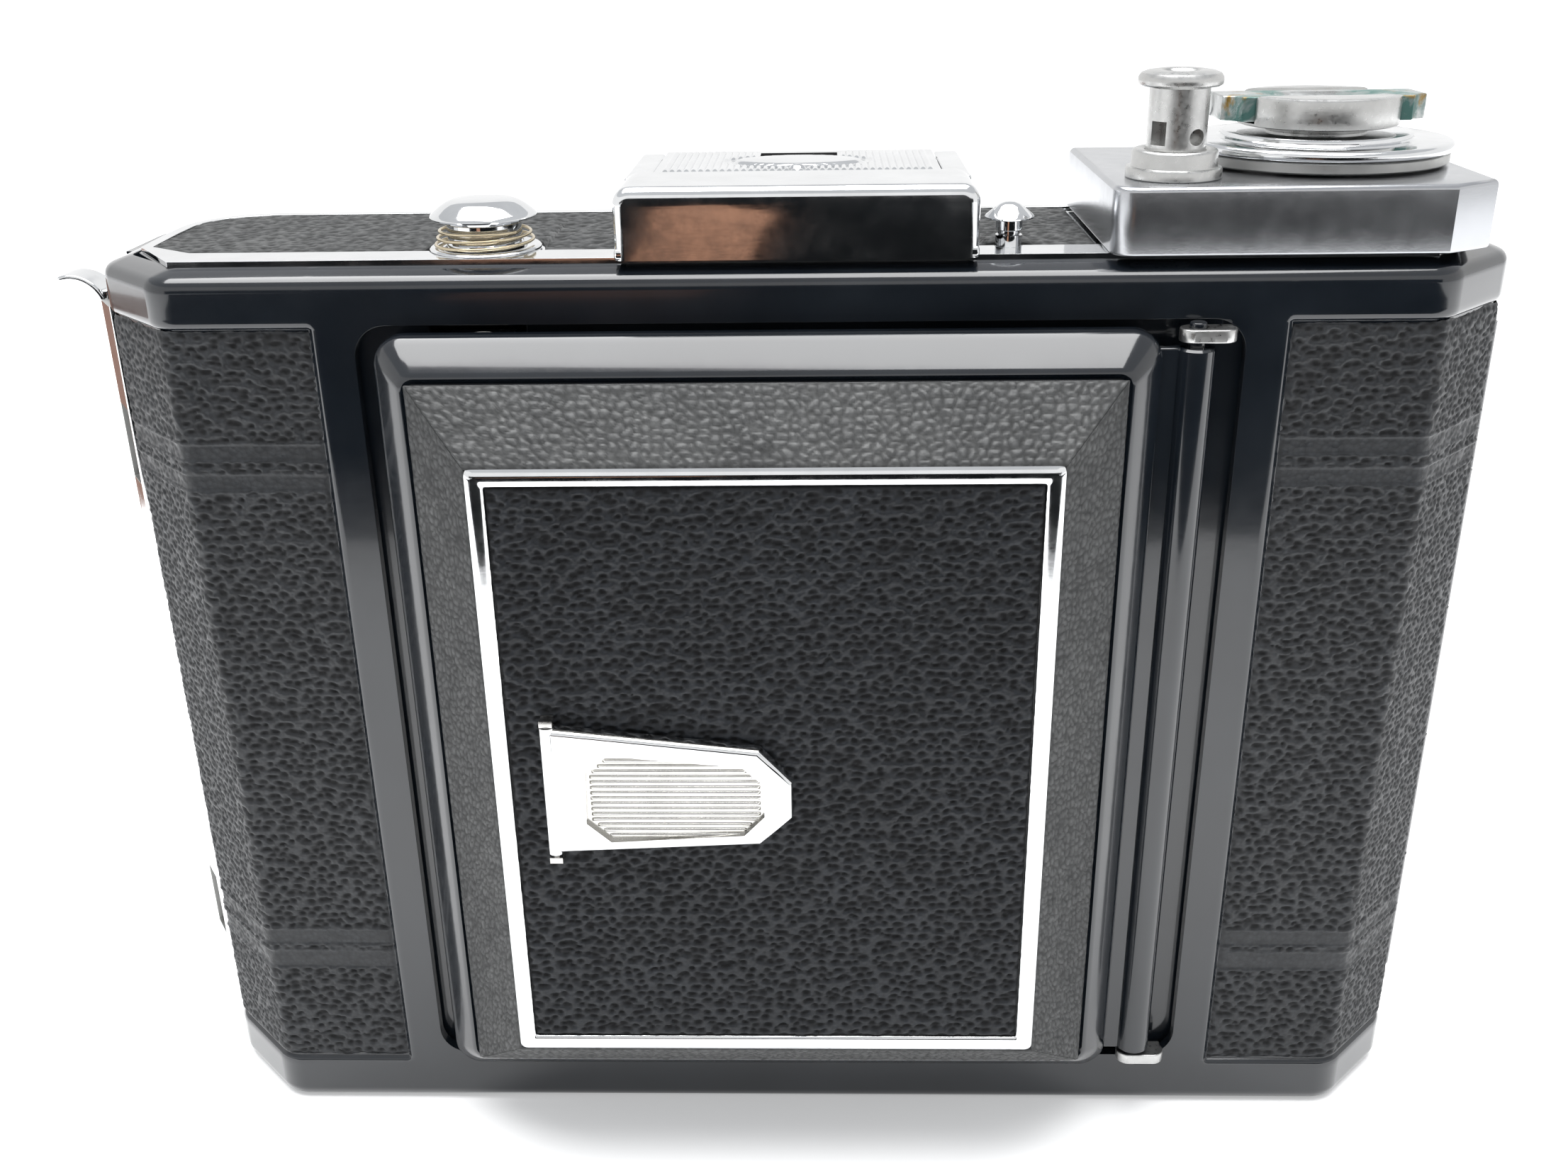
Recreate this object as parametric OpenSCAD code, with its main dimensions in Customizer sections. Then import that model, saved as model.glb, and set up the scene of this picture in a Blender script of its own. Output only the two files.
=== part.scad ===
// Self-erecting folding roll-film camera, closed.
// +X to the right, +Y to the back, +Z up. Origin at the mouth of the tripod socket.

/* [Body] */
// Width of the body across its sides
body_w = 130; // [128:0.5:134]
// Height of the body, without the controls on its top
body_h = 92.4; // [92:0.1:94]
// Depth of the body from its front to its back
body_d = 31; // [30.5:0.1:32]
// Distance of the body's front face in front of the origin
front_d = 17; // [16.8:0.1:17.5]
// Height of the enamelled bands at the top and the bottom
band_h = 5.6; // [5:0.1:6]
// Wall thickness of the pressed shells
wall = 1.2; // [1:0.1:1.4]
// Thickness of the leatherette
skin = 0.5; // [0.3:0.1:0.6]
/* [Door] */
// Width of the door
door_w = 69.3; // [68:0.1:69.3]
// Height of the door
door_h = 79.4; // [78:0.1:79.4]
// Height of the door's sloping sides
door_rise = 8.9; // [8.5:0.1:9]
// Width of the door's margin, from its edge to the trim frame
door_margin = 9.3; // [9:0.1:10]
/* [Lens] */
// Radius of the shutter case
shutter_r = 17.8; // [16:0.1:17.8]
// Radius of the focusing ring
focus_r = 11.6; // [11:0.1:11.8]
/* [Film] */
// Side of the square film gate
gate = 56; // [54:0.5:57]
// Radius of a film spool's flange
spool_r = 12.4; // [12:0.1:12.5]
// Length of a film spool
spool_l = 64; // [63:0.1:64.5]
/* [Top] */
// Radius of the winding wheel
wheel_r = 12; // [11:0.1:12.1]
// Radius of the door button's head
button_r = 4.85; // [4.5:0.05:5]
// Height of the closed finder
finder_h = 6.3; // [6:0.1:6.5]

/* [Hidden] */
$fn = 48;
fine = 96;
eps = 0.01;

// Plan of the body
half_w = body_w / 2;
front_y = -front_d;
back_y = body_d - front_d;
bevel_x = half_w - 8;
bevel_y = front_y + 8;
seam_y = -3;
seam_edge = 1.3;
lip_y = front_y + wall + skin - eps;
corner_r = 9;
tan_half_bevel = tan(22.5);
bar_out_x = 43.5;
open_x = 39.6;
open_low = 6.5;
open_top = 87.1;
mid_z = body_h / 2;

// Levels of the top
deck_t = 1.3;
plate_t = 0.5;
leather_in = 4.1;
deck_top = body_h - plate_t;
deck_low = deck_top - deck_t;
floor_t = 1.6;

// Door
door_x = -2.75;
door_z = 46.9;
door_edge_y = front_y - 2.5;
door_rim_y = front_y - 0.5;
door_wall = 1;
bevel_w = 3;
slope = door_rise / door_margin;
trim_w = 1.75;
trim_y = door_edge_y - door_rise;
hinge_x = 35;
hinge_y = front_y - 1;
barrel_r = 1.7;
pin_r = 0.75;
link_end_x = 38.24;

tongue_z = door_z + door_h / 2 - door_wall - 0.9;
catch_y = -14.2;

// Lens
plate_front = -16;
plate_back = -14.8;
case_front = -20.8;
strut_z = 35.3;
link_z = 36.6;
link_t = 0.9;
pivot_x = -22;
strut_l = 53.8;
link_pivot_x = 2;
link_l = 30;
bracket_h = 34.6;

// Film
chamber_x = 48.5;
chamber_y = -0.5;
film_y = 8;
spool_z = mid_z - spool_l / 2;
core_r = 5.5;

// Back
window_x = -12;
window_z = mid_z - 10;
back_hinge_x = half_w + 1.15;
knuckle_h = 15;
body_knuckles = [8.7, 38.7, 68.7];
back_knuckles = [23.7, 53.7];
latch_x = -66.7;
latch_y = 3.7;
latch_low = 3.5;
latch_high = 86.4;

// Controls
release_x = 33.4;
release_y = -10.3;
release_stem_r = 2.6;
door_button_x = -28.7;
door_button_y = -8.7;
door_stem_r = 3.5;
washer_r = 5.1;
finder_button_x = 19.1;
finder_button_y = -10.3;
finder_stem_r = 1.2;
fit = 0.06;
foot_x = -22.7;
foot_low = 40.3;
foot_high = 53.3;
foot_pin_r = 0.3;
housing_t = 5.9;
housing_top = body_h + housing_t;
wheel_z = housing_top + 0.15;

// Finder
finder_w = 32;
finder_front = -16;
finder_back = 10.5;
finder_top = body_h + finder_h;
lid_w = 26.6;
lid_front = -5.6;
lid_back = 9.3;

// A run of points on an arc from angle a to angle b
function arc(x, y, r, a, b, n = 10) =
    [for (i = [0:n]) [x + r * cos(a + (b - a) * i / n), y + r * sin(a + (b - a) * i / n)]];

// The bevelled plan of the front shell, set in by d
function front_plan(d, back) = [
    [-half_w + d, back],
    [-half_w + d, bevel_y + tan_half_bevel * d],
    [-bevel_x + tan_half_bevel * d, front_y + d],
    [bevel_x - tan_half_bevel * d, front_y + d],
    [half_w - d, bevel_y + tan_half_bevel * d],
    [half_w - d, back]
];

// The round-cornered plan of the back cover, set in by d
function back_plan(d, front) = concat(
    [[half_w - d, front]],
    arc(half_w - corner_r, back_y - corner_r, corner_r - d, 0, 90),
    arc(-half_w + corner_r, back_y - corner_r, corner_r - d, 90, 180),
    [[-half_w + d, front]]
);

// The plan of the flat deck and of the plates on it, set in by d
function deck_plan(d, front_in) = concat(
    [
        [-62.3 + d, 0], [-62 + d, -6.8], [-56.5 + d / 2, front_y + 2.7 + front_in],
        [56.5 - d / 2, front_y + 2.7 + front_in], [62 - d, -6.8], [62.3 - d, 0]
    ],
    arc(54.5, 4, 7.8 - d, 0, 90),
    arc(-54.5, 4, 7.8 - d, 90, 180)
);

// A block whose corners in X and Z are round, from y to y + d
module slab(x, z, w, h, y, d, r = 1) {
    translate([x, y + d, z]) rotate([90, 0, 0]) linear_extrude(d) rounded(w, h, r);
}

// A rectangle with round corners, centred
module rounded(w, h, r) {
    union() {
        square([w - 2 * r, h], center = true);
        square([w, h - 2 * r], center = true);
        for (sx = [-1, 1], sy = [-1, 1])
            translate([sx * (w / 2 - r), sy * (h / 2 - r)]) circle(r);
    }
}

// A disc or tube along Y, from y to y + d
module disc_y(x, z, r, y, d, bore = 0) {
    translate([x, y + d, z]) rotate([90, 0, 0]) difference() {
        cylinder(r = r, h = d, $fn = fine);
        if (bore > 0)
            translate([0, 0, -1]) cylinder(r = bore, h = d + 2, $fn = fine);
    }
}

// A disc or tube along Z, from z to z + h
module disc_z(x, y, r, z, h, bore = 0) {
    translate([x, y, z]) difference() {
        cylinder(r = r, h = h, $fn = fine);
        if (bore > 0)
            translate([0, 0, -1]) cylinder(r = bore, h = h + 2, $fn = fine);
    }
}

// A flat link with round ends that lies in the XY plane
module link(x, y, length, w, z, t) {
    translate([x, y, z]) {
        cylinder(r = w / 2, h = t);
        translate([length, 0, 0]) cylinder(r = w / 2, h = t);
        translate([0, -w / 2, 0]) cube([length, w, t]);
    }
}

module body_shell() {
    middle_h = deck_top - 2 * band_h + plate_t;
    color("#15181b") difference() {
        union() {
            linear_extrude(band_h) polygon(front_plan(0, seam_y));
            translate([0, 0, body_h - band_h])
                linear_extrude(band_h - plate_t) polygon(front_plan(0, seam_y));
            translate([0, 0, band_h - eps])
                linear_extrude(middle_h + 2 * eps) polygon(front_plan(skin, seam_y));
            translate([-bar_out_x, front_y, band_h - eps])
                cube([2 * bar_out_x, 2, middle_h + 2 * eps]);
            for (s = [-1, 1])
                translate([s > 0 ? half_w - 1 : -half_w, seam_y - seam_edge, band_h - eps])
                    cube([1, seam_edge, middle_h + 2 * eps]);
        }
        translate([0, 0, -1]) linear_extrude(body_h + 2) polygon(front_plan(wall + skin, back_y));
        slab(0, (open_low + open_top) / 2, 2 * open_x, open_top - open_low, front_y - 1, 6, 3);
    }
    // lip behind the door's edge
    color("#15181b") difference() {
        slab(0, (open_low + open_top) / 2, 2 * open_x + 1, open_top - open_low + 1, lip_y, 0.8, 3);
        translate([-36.8, lip_y - 1, 8.4]) cube([72.2, 4, 75.8]);
        translate([door_button_x - 4.4, lip_y - 1, 80]) cube([8.8, 4, 20]);
    }
}

// Outline of the plates that close the shell's top and bottom
module end_outline() {
    union() {
        polygon(front_plan(wall + skin, seam_y + 1));
        polygon(deck_plan(-0.3, 0));
    }
}

module end_plates() {
    color("#15181b") {
        difference() {
            translate([0, 0, deck_low]) linear_extrude(deck_t) end_outline();
            disc_z(door_button_x, door_button_y, door_stem_r + fit, deck_low - 1, 4);
            disc_z(release_x, release_y, release_stem_r + fit, deck_low - 1, 4);
            disc_z(finder_button_x, finder_button_y, finder_stem_r + fit, deck_low - 1, 4);
            disc_z(chamber_x, chamber_y, 3.2 + fit, deck_low - 1, 4);
        }
        difference() {
            linear_extrude(floor_t) end_outline();
            translate([0, 0, -1]) cylinder(r = 6, h = 4);
            translate([0, 0, -1]) linear_extrude(1.55) polygon(deck_plan(3.5, 3.6));
        }
    }
}

module chamber_frame() {
    tunnel = 33.4;
    side_t = 1;
    color("#1a1a1c") difference() {
        union() {
            // tunnel that the bellows folds into
            translate([-tunnel - side_t, -13.5, mid_z - 33.9])
                cube([2 * (tunnel + side_t), film_y + 13.4, 67.8]);
            // plates over and under the spools
            for (z = [spool_z - 1.6, spool_z + spool_l + 0.6])
                translate([0, 0, z]) linear_extrude(1) intersection() {
                    polygon(deck_plan(0.6, 0));
                    for (s = [-1, 1])
                        translate([s > 0 ? tunnel : -70, -8]) square([70 - tunnel, 18.5]);
                }
            // posts that carry the frame on the shell's front wall
            for (s = [-1, 1], z = [mid_z - 33.9, mid_z + 31.9])
                translate([s > 0 ? tunnel : -38.4, lip_y + 0.8, z]) cube([5, 2.3, 2]);
        }
        translate([-tunnel, -14, mid_z - 32.9]) cube([2 * tunnel, 20.4, 65.8]);
        translate([-gate / 2, 0, mid_z - gate / 2]) cube([gate, 20, gate]);
        for (s = [-1, 1])
            disc_z(s * chamber_x, chamber_y, 3.3, spool_z - 3, spool_l + 6);
    }
}

module film_rollers() {
    color("silver") for (s = [-1, 1])
        disc_z(s * 36.2, film_y, 1.3, spool_z - 0.5, spool_l + 1);
}

// Pins that carry both spools, and the lower pin of the take-up spool
module spool_pins() {
    color("silver") {
        for (z = [spool_z - 3, spool_z + spool_l - 2])
            disc_z(-chamber_x, chamber_y, 3.25, z, 5);
        disc_z(chamber_x, chamber_y, 3.25, spool_z - 3, 2.7);
        disc_z(chamber_x, chamber_y, 2, spool_z - 0.5, 3.3);
    }
}

module top_plate() {
    color("#d9dadb") difference() {
        translate([0, 0, deck_top]) linear_extrude(plate_t) polygon(deck_plan(0.3, 0));
        translate([0, 0, deck_top + 0.25]) linear_extrude(1) polygon(deck_plan(1.4, leather_in));
        disc_z(door_button_x, door_button_y, washer_r + fit, deck_top + 0.25, 1);
        disc_z(door_button_x, door_button_y, door_stem_r + fit, deck_low, 4);
        disc_z(release_x, release_y, release_stem_r + fit, deck_low, 4);
        disc_z(finder_button_x, finder_button_y, finder_stem_r + fit, deck_low, 4);
        disc_z(chamber_x, chamber_y, 3.2 + fit, deck_low, 4);
    }
}

module top_leather() {
    color("#22252a") difference() {
        translate([0, 0, deck_top + 0.25]) linear_extrude(0.3)
            polygon(deck_plan(1.45, leather_in + 0.05));
        disc_z(door_button_x, door_button_y, washer_r + 0.3, deck_top, 2);
        translate([-finder_w / 2 - 0.2, -20, deck_top]) cube([finder_w + 0.4, 40, 2]);
        translate([27, -20, deck_top]) cube([40, 40, 2]);
        disc_z(finder_button_x, finder_button_y, 2.4, deck_top, 2);
    }
}

// Leatherette of one side of the front, with its two pairs of embossed bands
module side_leather(s) {
    low = band_h + 0.05;
    high = body_h - band_h - 0.05;
    half = [
        [bar_out_x + 0.1, front_y + 0.12],
        [bevel_x - tan_half_bevel * 0.12, front_y + 0.12],
        [half_w - 0.12, bevel_y + tan_half_bevel * 0.12],
        [half_w - 0.12, seam_y - seam_edge - 0.05],
        [half_w - skin, seam_y - seam_edge - 0.05],
        [half_w - skin, bevel_y + tan_half_bevel * skin],
        [bevel_x - tan_half_bevel * skin, front_y + skin],
        [bar_out_x + 0.1, front_y + skin]
    ];
    color("#22252a") mirror([s < 0 ? 1 : 0, 0, 0])
        translate([0, 0, low]) linear_extrude(high - low) polygon(half);
}

module left_leather() { side_leather(-1); }

module right_leather() { side_leather(1); }

module bottom_leather() {
    color("#22252a") difference() {
        translate([0, 0, 0.15]) linear_extrude(0.4) polygon(deck_plan(3.6, 3.7));
        translate([0, 0, -1]) cylinder(r = 6.2, h = 4);
    }
}

module tripod_bush() {
    color("#c8c9ca") difference() {
        union() {
            cylinder(r = 6, h = 3, $fn = fine);
            cylinder(r = 4.6, h = 7, $fn = fine);
        }
        translate([0, 0, -1]) cylinder(r = 2.55, h = 7, $fn = fine);
    }
}

module door_hinge_pin() {
    color("silver") disc_z(hinge_x, hinge_y, pin_r, open_low, open_top - open_low);
}

module hinge_links() {
    color("#dfe0e1") difference() {
        for (z = [open_low + 0.5, open_top - 1.7]) {
            link(hinge_x - 0.4, hinge_y, 2.6, 2.4, z, 1.2);
            translate([hinge_x + 2, hinge_y + 0.4, z]) cube([link_end_x - hinge_x - 2, 0.8, 1.2]);
        }
        disc_z(hinge_x, hinge_y, pin_r, 0, body_h);
    }
}

module latch_keepers() {
    color("silver") for (z = [17, 72])
        translate([-half_w - 0.5, seam_y - 1.9, z - 4]) cube([0.5, 1.4, 8]);
}

// Folded bellows: a stack of square folds, small in front and large behind
module bellows() {
    folds = 7;
    pitch = 2.9;
    color("#101012") difference() {
        union() for (i = [0:folds - 1]) {
            grow = i * 1.45;
            for (k = [0, 1])
                translate([-23 - grow + k * 2.2, plate_back + 0.1 + i * pitch + k * pitch / 2,
                           mid_z - 23 - grow + k * 2.2])
                    cube([46 + 2 * grow - k * 4.4, pitch / 2 + eps, 46 + 2 * grow - k * 4.4]);
        }
        translate([-18.5, plate_back - 1, mid_z - 18.5]) cube([37, 40, 37]);
    }
}

// One layer of the hollow door: a frustum set in by a and b from the door's edge
module door_frustum(a, b, y0, y1) {
    hull() {
        slab(door_x, door_z, door_w - 2 * a, door_h - 2 * a, y0 - eps, eps, 1);
        slab(door_x, door_z, door_w - 2 * b, door_h - 2 * b, y1, eps, 1);
    }
}

module door_shell() {
    face_in = door_margin + 0.8;
    color("#15181b") difference() {
        union() {
            slab(door_x, door_z, door_w, door_h, door_edge_y, door_rim_y - door_edge_y, 1.2);
            door_frustum(0, bevel_w, door_edge_y + eps, door_edge_y - bevel_w * slope);
            door_frustum(bevel_w + 0.5, door_margin, door_edge_y - bevel_w * slope + eps,
                         trim_y + 0.5);
            translate([hinge_x, hinge_y, open_low + 2.2])
                cylinder(r = barrel_r, h = open_top - open_low - 4.4);
            translate([door_x + door_w / 2 - 1, door_rim_y - 1, open_low + 2.2])
                cube([hinge_x - door_x - door_w / 2 + 1, 0.9, open_top - open_low - 4.4]);
        }
        slab(door_x, door_z, door_w - 2 * door_wall, door_h - 2 * door_wall,
             door_edge_y - eps, 10, 0.8);
        door_frustum(door_wall, face_in, door_edge_y, trim_y + 1.3);
        translate([hinge_x, hinge_y, 0]) cylinder(r = pin_r + fit, h = 200);
    }
}

// A frustum with sharp corners, from the inset a at y0 to the inset b at y1
module sharp_frustum(a, y0, b, y1) {
    hull() {
        translate([door_x - door_w / 2 + a, y0 - eps, door_z - door_h / 2 + a])
            cube([door_w - 2 * a, eps, door_h - 2 * a]);
        translate([door_x - door_w / 2 + b, y1, door_z - door_h / 2 + b])
            cube([door_w - 2 * b, eps, door_h - 2 * b]);
    }
}

// Leatherette on the four slopes of the door
module door_leather() {
    foot_y = door_edge_y - bevel_w * slope - fit;
    sheet = 0.5;
    far = door_margin - 0.25;
    near = bevel_w + 0.05;
    back_in = near + (sheet - 0.3) / slope;
    color("#2a2d31") difference() {
        sharp_frustum(near, foot_y, far, foot_y - (far - near) * slope);
        sharp_frustum(back_in, foot_y + 0.3, door_margin, foot_y + 0.3 - (door_margin - back_in) * slope);
        translate([door_x - door_w / 2 + far - 0.05, trim_y - 1, door_z - door_h / 2 + far - 0.05])
            cube([door_w - 2 * far + 0.1, 4, door_h - 2 * far + 0.1]);
    }
}

module door_trim() {
    w = door_w - 2 * door_margin + 0.4;
    h = door_h - 2 * door_margin + 0.4;
    color("#e4e5e6") difference() {
        slab(door_x, door_z, w, h, trim_y, 0.5, 0.6);
        slab(door_x, door_z, w - 2 * trim_w, h - 2 * trim_w, trim_y - 1, 4, 0.2);
    }
}

module door_panel() {
    w = door_w - 2 * door_margin + 0.4 - 2 * trim_w - 0.1;
    h = door_h - 2 * door_margin + 0.4 - 2 * trim_w - 0.1;
    color("#1d2024") slab(door_x, door_z, w, h, trim_y + 0.1, 0.4, 0.2);
}

module door_tongue() {
    color("silver") difference() {
        translate([door_button_x - 3, door_edge_y + 0.1, tongue_z]) cube([6, 7.2, 0.9]);
        disc_z(door_button_x, catch_y, 1.4, tongue_z - 1, 3);
    }
}

// Outline of the folding foot, set in by d
function foot_plan(d) = [
    [foot_x + d, foot_high - d * 1.1], [foot_x + d, foot_low + d], [-3.6 - d * 0.3, 41.2 + d],
    [-0.6 - d, 44.1 + d * 0.4], [-0.6 - d, 47.8 - d * 0.4], [-3.6 - d * 0.3, 51.1 - d * 1.1]
];

module foot_plate() {
    color("#e4e5e6") difference() {
        translate([0, trim_y - 0.15, 0]) rotate([90, 0, 0]) union() {
            linear_extrude(1.3) polygon(foot_plan(0));
            translate([foot_x, foot_low - 0.1, 0.65]) rotate([-90, 0, 0])
                cylinder(r = 0.72, h = foot_high - foot_low + 0.2);
        }
        translate([0, trim_y - 1.05, 0]) rotate([90, 0, 0])
            linear_extrude(1) polygon(foot_plan(2.2));
        translate([foot_x, trim_y - 0.8, foot_low - 5])
            cylinder(r = foot_pin_r + fit, h = foot_high - foot_low + 10);
    }
}

module foot_pin() {
    color("silver") {
        translate([foot_x, trim_y - 0.8, foot_low - 0.9])
            cylinder(r = foot_pin_r, h = foot_high - foot_low + 1.4);
        for (z = [foot_low - 1.1, foot_high + 0.2])
            translate([foot_x - 0.6, trim_y - 1.3, z]) cube([1.2, 1.4, 0.6]);
    }
}

module standard_plate() {
    color("#b9babc") difference() {
        union() {
            slab(0, mid_z, 44, 44, plate_front, plate_back - plate_front, 4);
            slab(-9, mid_z, 29.5, 2 * bracket_h, plate_front, plate_back - plate_front, 1.5);
        }
        disc_y(0, mid_z, 10, -20, 10);
    }
}

module shutter_case() {
    color("#1b1c1e") disc_y(0, mid_z, shutter_r, case_front, plate_front - case_front, 10);
}

module rear_cell() {
    color("#2a2b2d") difference() {
        disc_y(0, mid_z, 9.9, plate_front - 1.5, 7, 7.4);
        disc_y(0, mid_z, 8.1, plate_front + 2, 2);
    }
}

module lens_rear() {
    color("#9db6c8") disc_y(0, mid_z, 8, plate_front + 2, 2);
}

module lens_front() {
    color("#9db6c8") intersection() {
        disc_y(0, mid_z, 7.4, -24, 3);
        translate([0, -4.5, mid_z]) sphere(r = 19, $fn = fine);
    }
}

module shutter_blades() {
    color("#2b2e33") disc_y(0, mid_z, 9.8, plate_front - 2.2, 0.5, 2.6);
}

module speed_ring() {
    color("#c8c9ca") disc_y(0, mid_z, 17.2, case_front - 0.55, 0.5, focus_r + 0.3);
}

module focus_ring() {
    color("#c9cacb") difference() {
        disc_y(0, mid_z, focus_r, -24.4, 24.4 + case_front + 2, 7.5);
        disc_y(0, mid_z, 12, case_front - 0.01, 3, 9.7);
        disc_y(0, mid_z, 10.6, -25, 1.2);
    }
}

// A finger tab on the rim of the shutter case, at an angle round the lens
module rim_tab(angle, y, t, length) {
    translate([0, y, mid_z]) rotate([0, -angle, 0])
        translate([shutter_r + fit, 0, -1.2]) cube([length, t, 2.4]);
}

module aperture_lever() {
    color("silver") {
        disc_y(0, mid_z, 19.2, -19, 0.6, shutter_r + fit);
        rim_tab(225, -19, 0.6, 3);
    }
}

module cocking_lever() {
    color("silver") rim_tab(100, -20.3, 0.9, 2.4);
}

module shutter_trigger() {
    color("silver") rim_tab(165, -17.7, 0.9, 2.8);
}

module standard_struts() {
    color("#c2c3c5") for (s = [-1, 1])
        link(pivot_x, (plate_front + plate_back) / 2, strut_l, 4, mid_z + s * strut_z - link_t / 2, link_t);
}

module door_links() {
    color("#c2c3c5") for (s = [-1, 1])
        link(link_pivot_x - link_l, (plate_front + plate_back) / 2, link_l, 4,
             mid_z + s * link_z - link_t / 2, link_t);
}

module back_cover() {
    low = 0.4;
    high = deck_top - 0.05;
    color("#15181b") difference() {
        union() {
            translate([0, 0, low]) linear_extrude(band_h - low) polygon(back_plan(0, seam_y + 0.15));
            translate([0, 0, body_h - band_h])
                linear_extrude(high - body_h + band_h) polygon(back_plan(0, seam_y + 0.15));
            translate([0, 0, band_h - eps])
                linear_extrude(body_h - 2 * band_h + 2 * eps) polygon(back_plan(skin, seam_y + 0.15));
            // hinge knuckles of the back
            for (z = back_knuckles) {
                disc_z(back_hinge_x, seam_y, 1.1, z, knuckle_h - 0.3);
                translate([half_w - 1, seam_y + 0.15, z]) cube([1.4, 1.1, knuckle_h - 0.3]);
            }
            // ears and pin of the latch bar
            for (z = [latch_low - 1.7, latch_high + 0.2])
                translate([latch_x - 0.5, latch_y - 0.6, z]) cube([-half_w - latch_x + 0.7, 1.2, 1.5]);
            disc_z(latch_x, latch_y, 0.3, latch_low - 0.3, latch_high - latch_low + 0.6);
        }
        disc_z(back_hinge_x, seam_y, 0.6 + fit, -1, body_h + 2);
        translate([0, 0, -1]) linear_extrude(body_h + 2) polygon(back_plan(wall + skin, -20));
        disc_y(window_x, window_z, 4.2, 5, 20);
    }
}

module back_leather() {
    color("#22252a") difference() {
        translate([0, 0, band_h + 0.05]) linear_extrude(body_h - 2 * band_h - 0.1)
            polygon(back_plan(0.12, seam_y + 1.6));
        translate([0, 0, -1]) linear_extrude(body_h + 2) polygon(back_plan(skin, -20));
        disc_y(window_x, window_z, 4.6, 5, 20);
        translate([window_x - 17, 13, window_z - 4.5]) cube([31, 4, 9]);
    }
}

module pressure_plate() {
    color("#2a2b2e") difference() {
        slab(0, mid_z, 62, 64, film_y + 0.6, 0.9, 3);
        disc_y(window_x, window_z, 3.6, 5, 20);
    }
}

module plate_springs() {
    inner_y = back_y - wall - skin;
    bow_y = film_y + 2.15;
    color("silver") for (z = [mid_z - 24, mid_z + 24])
        translate([0, 0, z - 3]) linear_extrude(6) polygon([
            [-24, inner_y], [-24, inner_y - 0.4], [-6, bow_y], [6, bow_y],
            [24, inner_y - 0.4], [24, inner_y], [6, bow_y + 0.4], [-6, bow_y + 0.4]
        ]);
}

module red_window() {
    color("#8c1015", 0.6) disc_y(window_x, window_z, 4.1, back_y - wall - skin, wall);
}

module window_slider() {
    color("#c8c9ca") {
        slab(window_x, window_z, 12, 8, back_y - 0.42, 0.3, 1);
        slab(window_x, window_z, 3, 4, back_y - 0.3, 0.8, 0.5);
    }
}

module back_hinge_pin() {
    color("#15181b") {
        disc_z(back_hinge_x, seam_y, 0.6, body_knuckles[0], body_h - 2 * body_knuckles[0]);
        for (z = body_knuckles) {
            disc_z(back_hinge_x, seam_y, 1.1, z, knuckle_h - 0.3);
            translate([half_w, seam_y - 4, z]) cube([0.4, 4, knuckle_h - 0.3]);
        }
    }
}

// Sprung strip that holds the back shut, with its curled finger tab
module latch_bar() {
    strip = [[-65.7, -5.1], [-66.6, -5.2], [-69, -1.6], [-69.1, 0.6], [-67, 3.6], [-66.3, 3.2],
             [-68.2, 0.4], [-68.1, -1.4], [-66.3, -4.3], [-65.7, -4.3]];
    color("#e4e5e6") difference() {
        union() {
            translate([0, 0, latch_low]) linear_extrude(latch_high - latch_low) polygon(strip);
            disc_z(latch_x, latch_y, 0.8, latch_low, latch_high - latch_low);
            translate([-68.95, -1.8, latch_high - 1]) cube([0.9, 3.4, 2.05]);
            translate([0, 1.7, latch_high - 1]) rotate([90, 0, 0]) linear_extrude(3.6)
                polygon(concat(arc(-71.65, 0, 3.4, 10, 112), arc(-71.65, 0, 2.8, 112, 10)));
        }
        disc_z(latch_x, latch_y, 0.3 + fit, 0, body_h);
    }
}

// Outline of the housing under the winding wheel, set in by d
function housing_plan(d) = concat(
    [[56.3 - d * 0.7, -16.5 + d], [60.7 - d, -13.7 + d * 0.3]],
    arc(54.7, 4.5, 6 - d, 0, 90),
    [[27.4 + d, 10.5 - d]],
    arc(29.4, -14.5, 2 - min(d, 1.9), 180, 270)
);

module wind_housing() {
    color("#bfc0c2") difference() {
        translate([0, 0, body_h]) linear_extrude(housing_t) polygon(housing_plan(0));
        translate([0, 0, body_h - 1]) linear_extrude(housing_t) polygon(housing_plan(1));
        disc_z(release_x, release_y, release_stem_r + fit, body_h, 20);
        disc_z(chamber_x, chamber_y, 3.2 + fit, body_h, 20);
    }
}

module wind_wheel() {
    color("#8e8f91") disc_z(chamber_x, chamber_y, wheel_r, wheel_z, 1.15, 3);
}

module wind_cap() {
    color("#e4e5e6") {
        disc_z(chamber_x, chamber_y, wheel_r + 0.25, wheel_z + 1.15, 0.9, 3);
        disc_z(chamber_x, chamber_y, 8.6, wheel_z + 2.05, 0.6, 3);
    }
}

module wind_knob() {
    color("#dadbdc") difference() {
        union() {
            disc_z(chamber_x, chamber_y, 4.6, wheel_z + 2.65, 1);
            disc_z(chamber_x, chamber_y, 7.3, wheel_z + 3.2, 2.75);
        }
        translate([chamber_x - 10, chamber_y - 3.1, wheel_z + 3.5]) cube([20, 7.4, 5]);
    }
}

module wind_key() {
    axis_y = chamber_y + 2.9;
    key_z = wheel_z + 3.65;
    color("#b7c0b4") {
        translate([chamber_x - 9.3, axis_y - 5.8, key_z]) cube([18.7, 5.8, 2.2]);
        translate([chamber_x - 9.3, axis_y, key_z + 1.1]) rotate([0, 90, 0]) cylinder(r = 1.1, h = 18.7);
    }
}

module wind_shaft() {
    color("silver") {
        disc_z(chamber_x, chamber_y, 3, wheel_z - 1, 3.65);
        disc_z(chamber_x, chamber_y, 3.2, spool_z + spool_l + 0.3, wheel_z - spool_z - spool_l - 1.3);
        disc_z(chamber_x, chamber_y, 2, spool_z + spool_l - 3, 3.4);
    }
}

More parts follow.
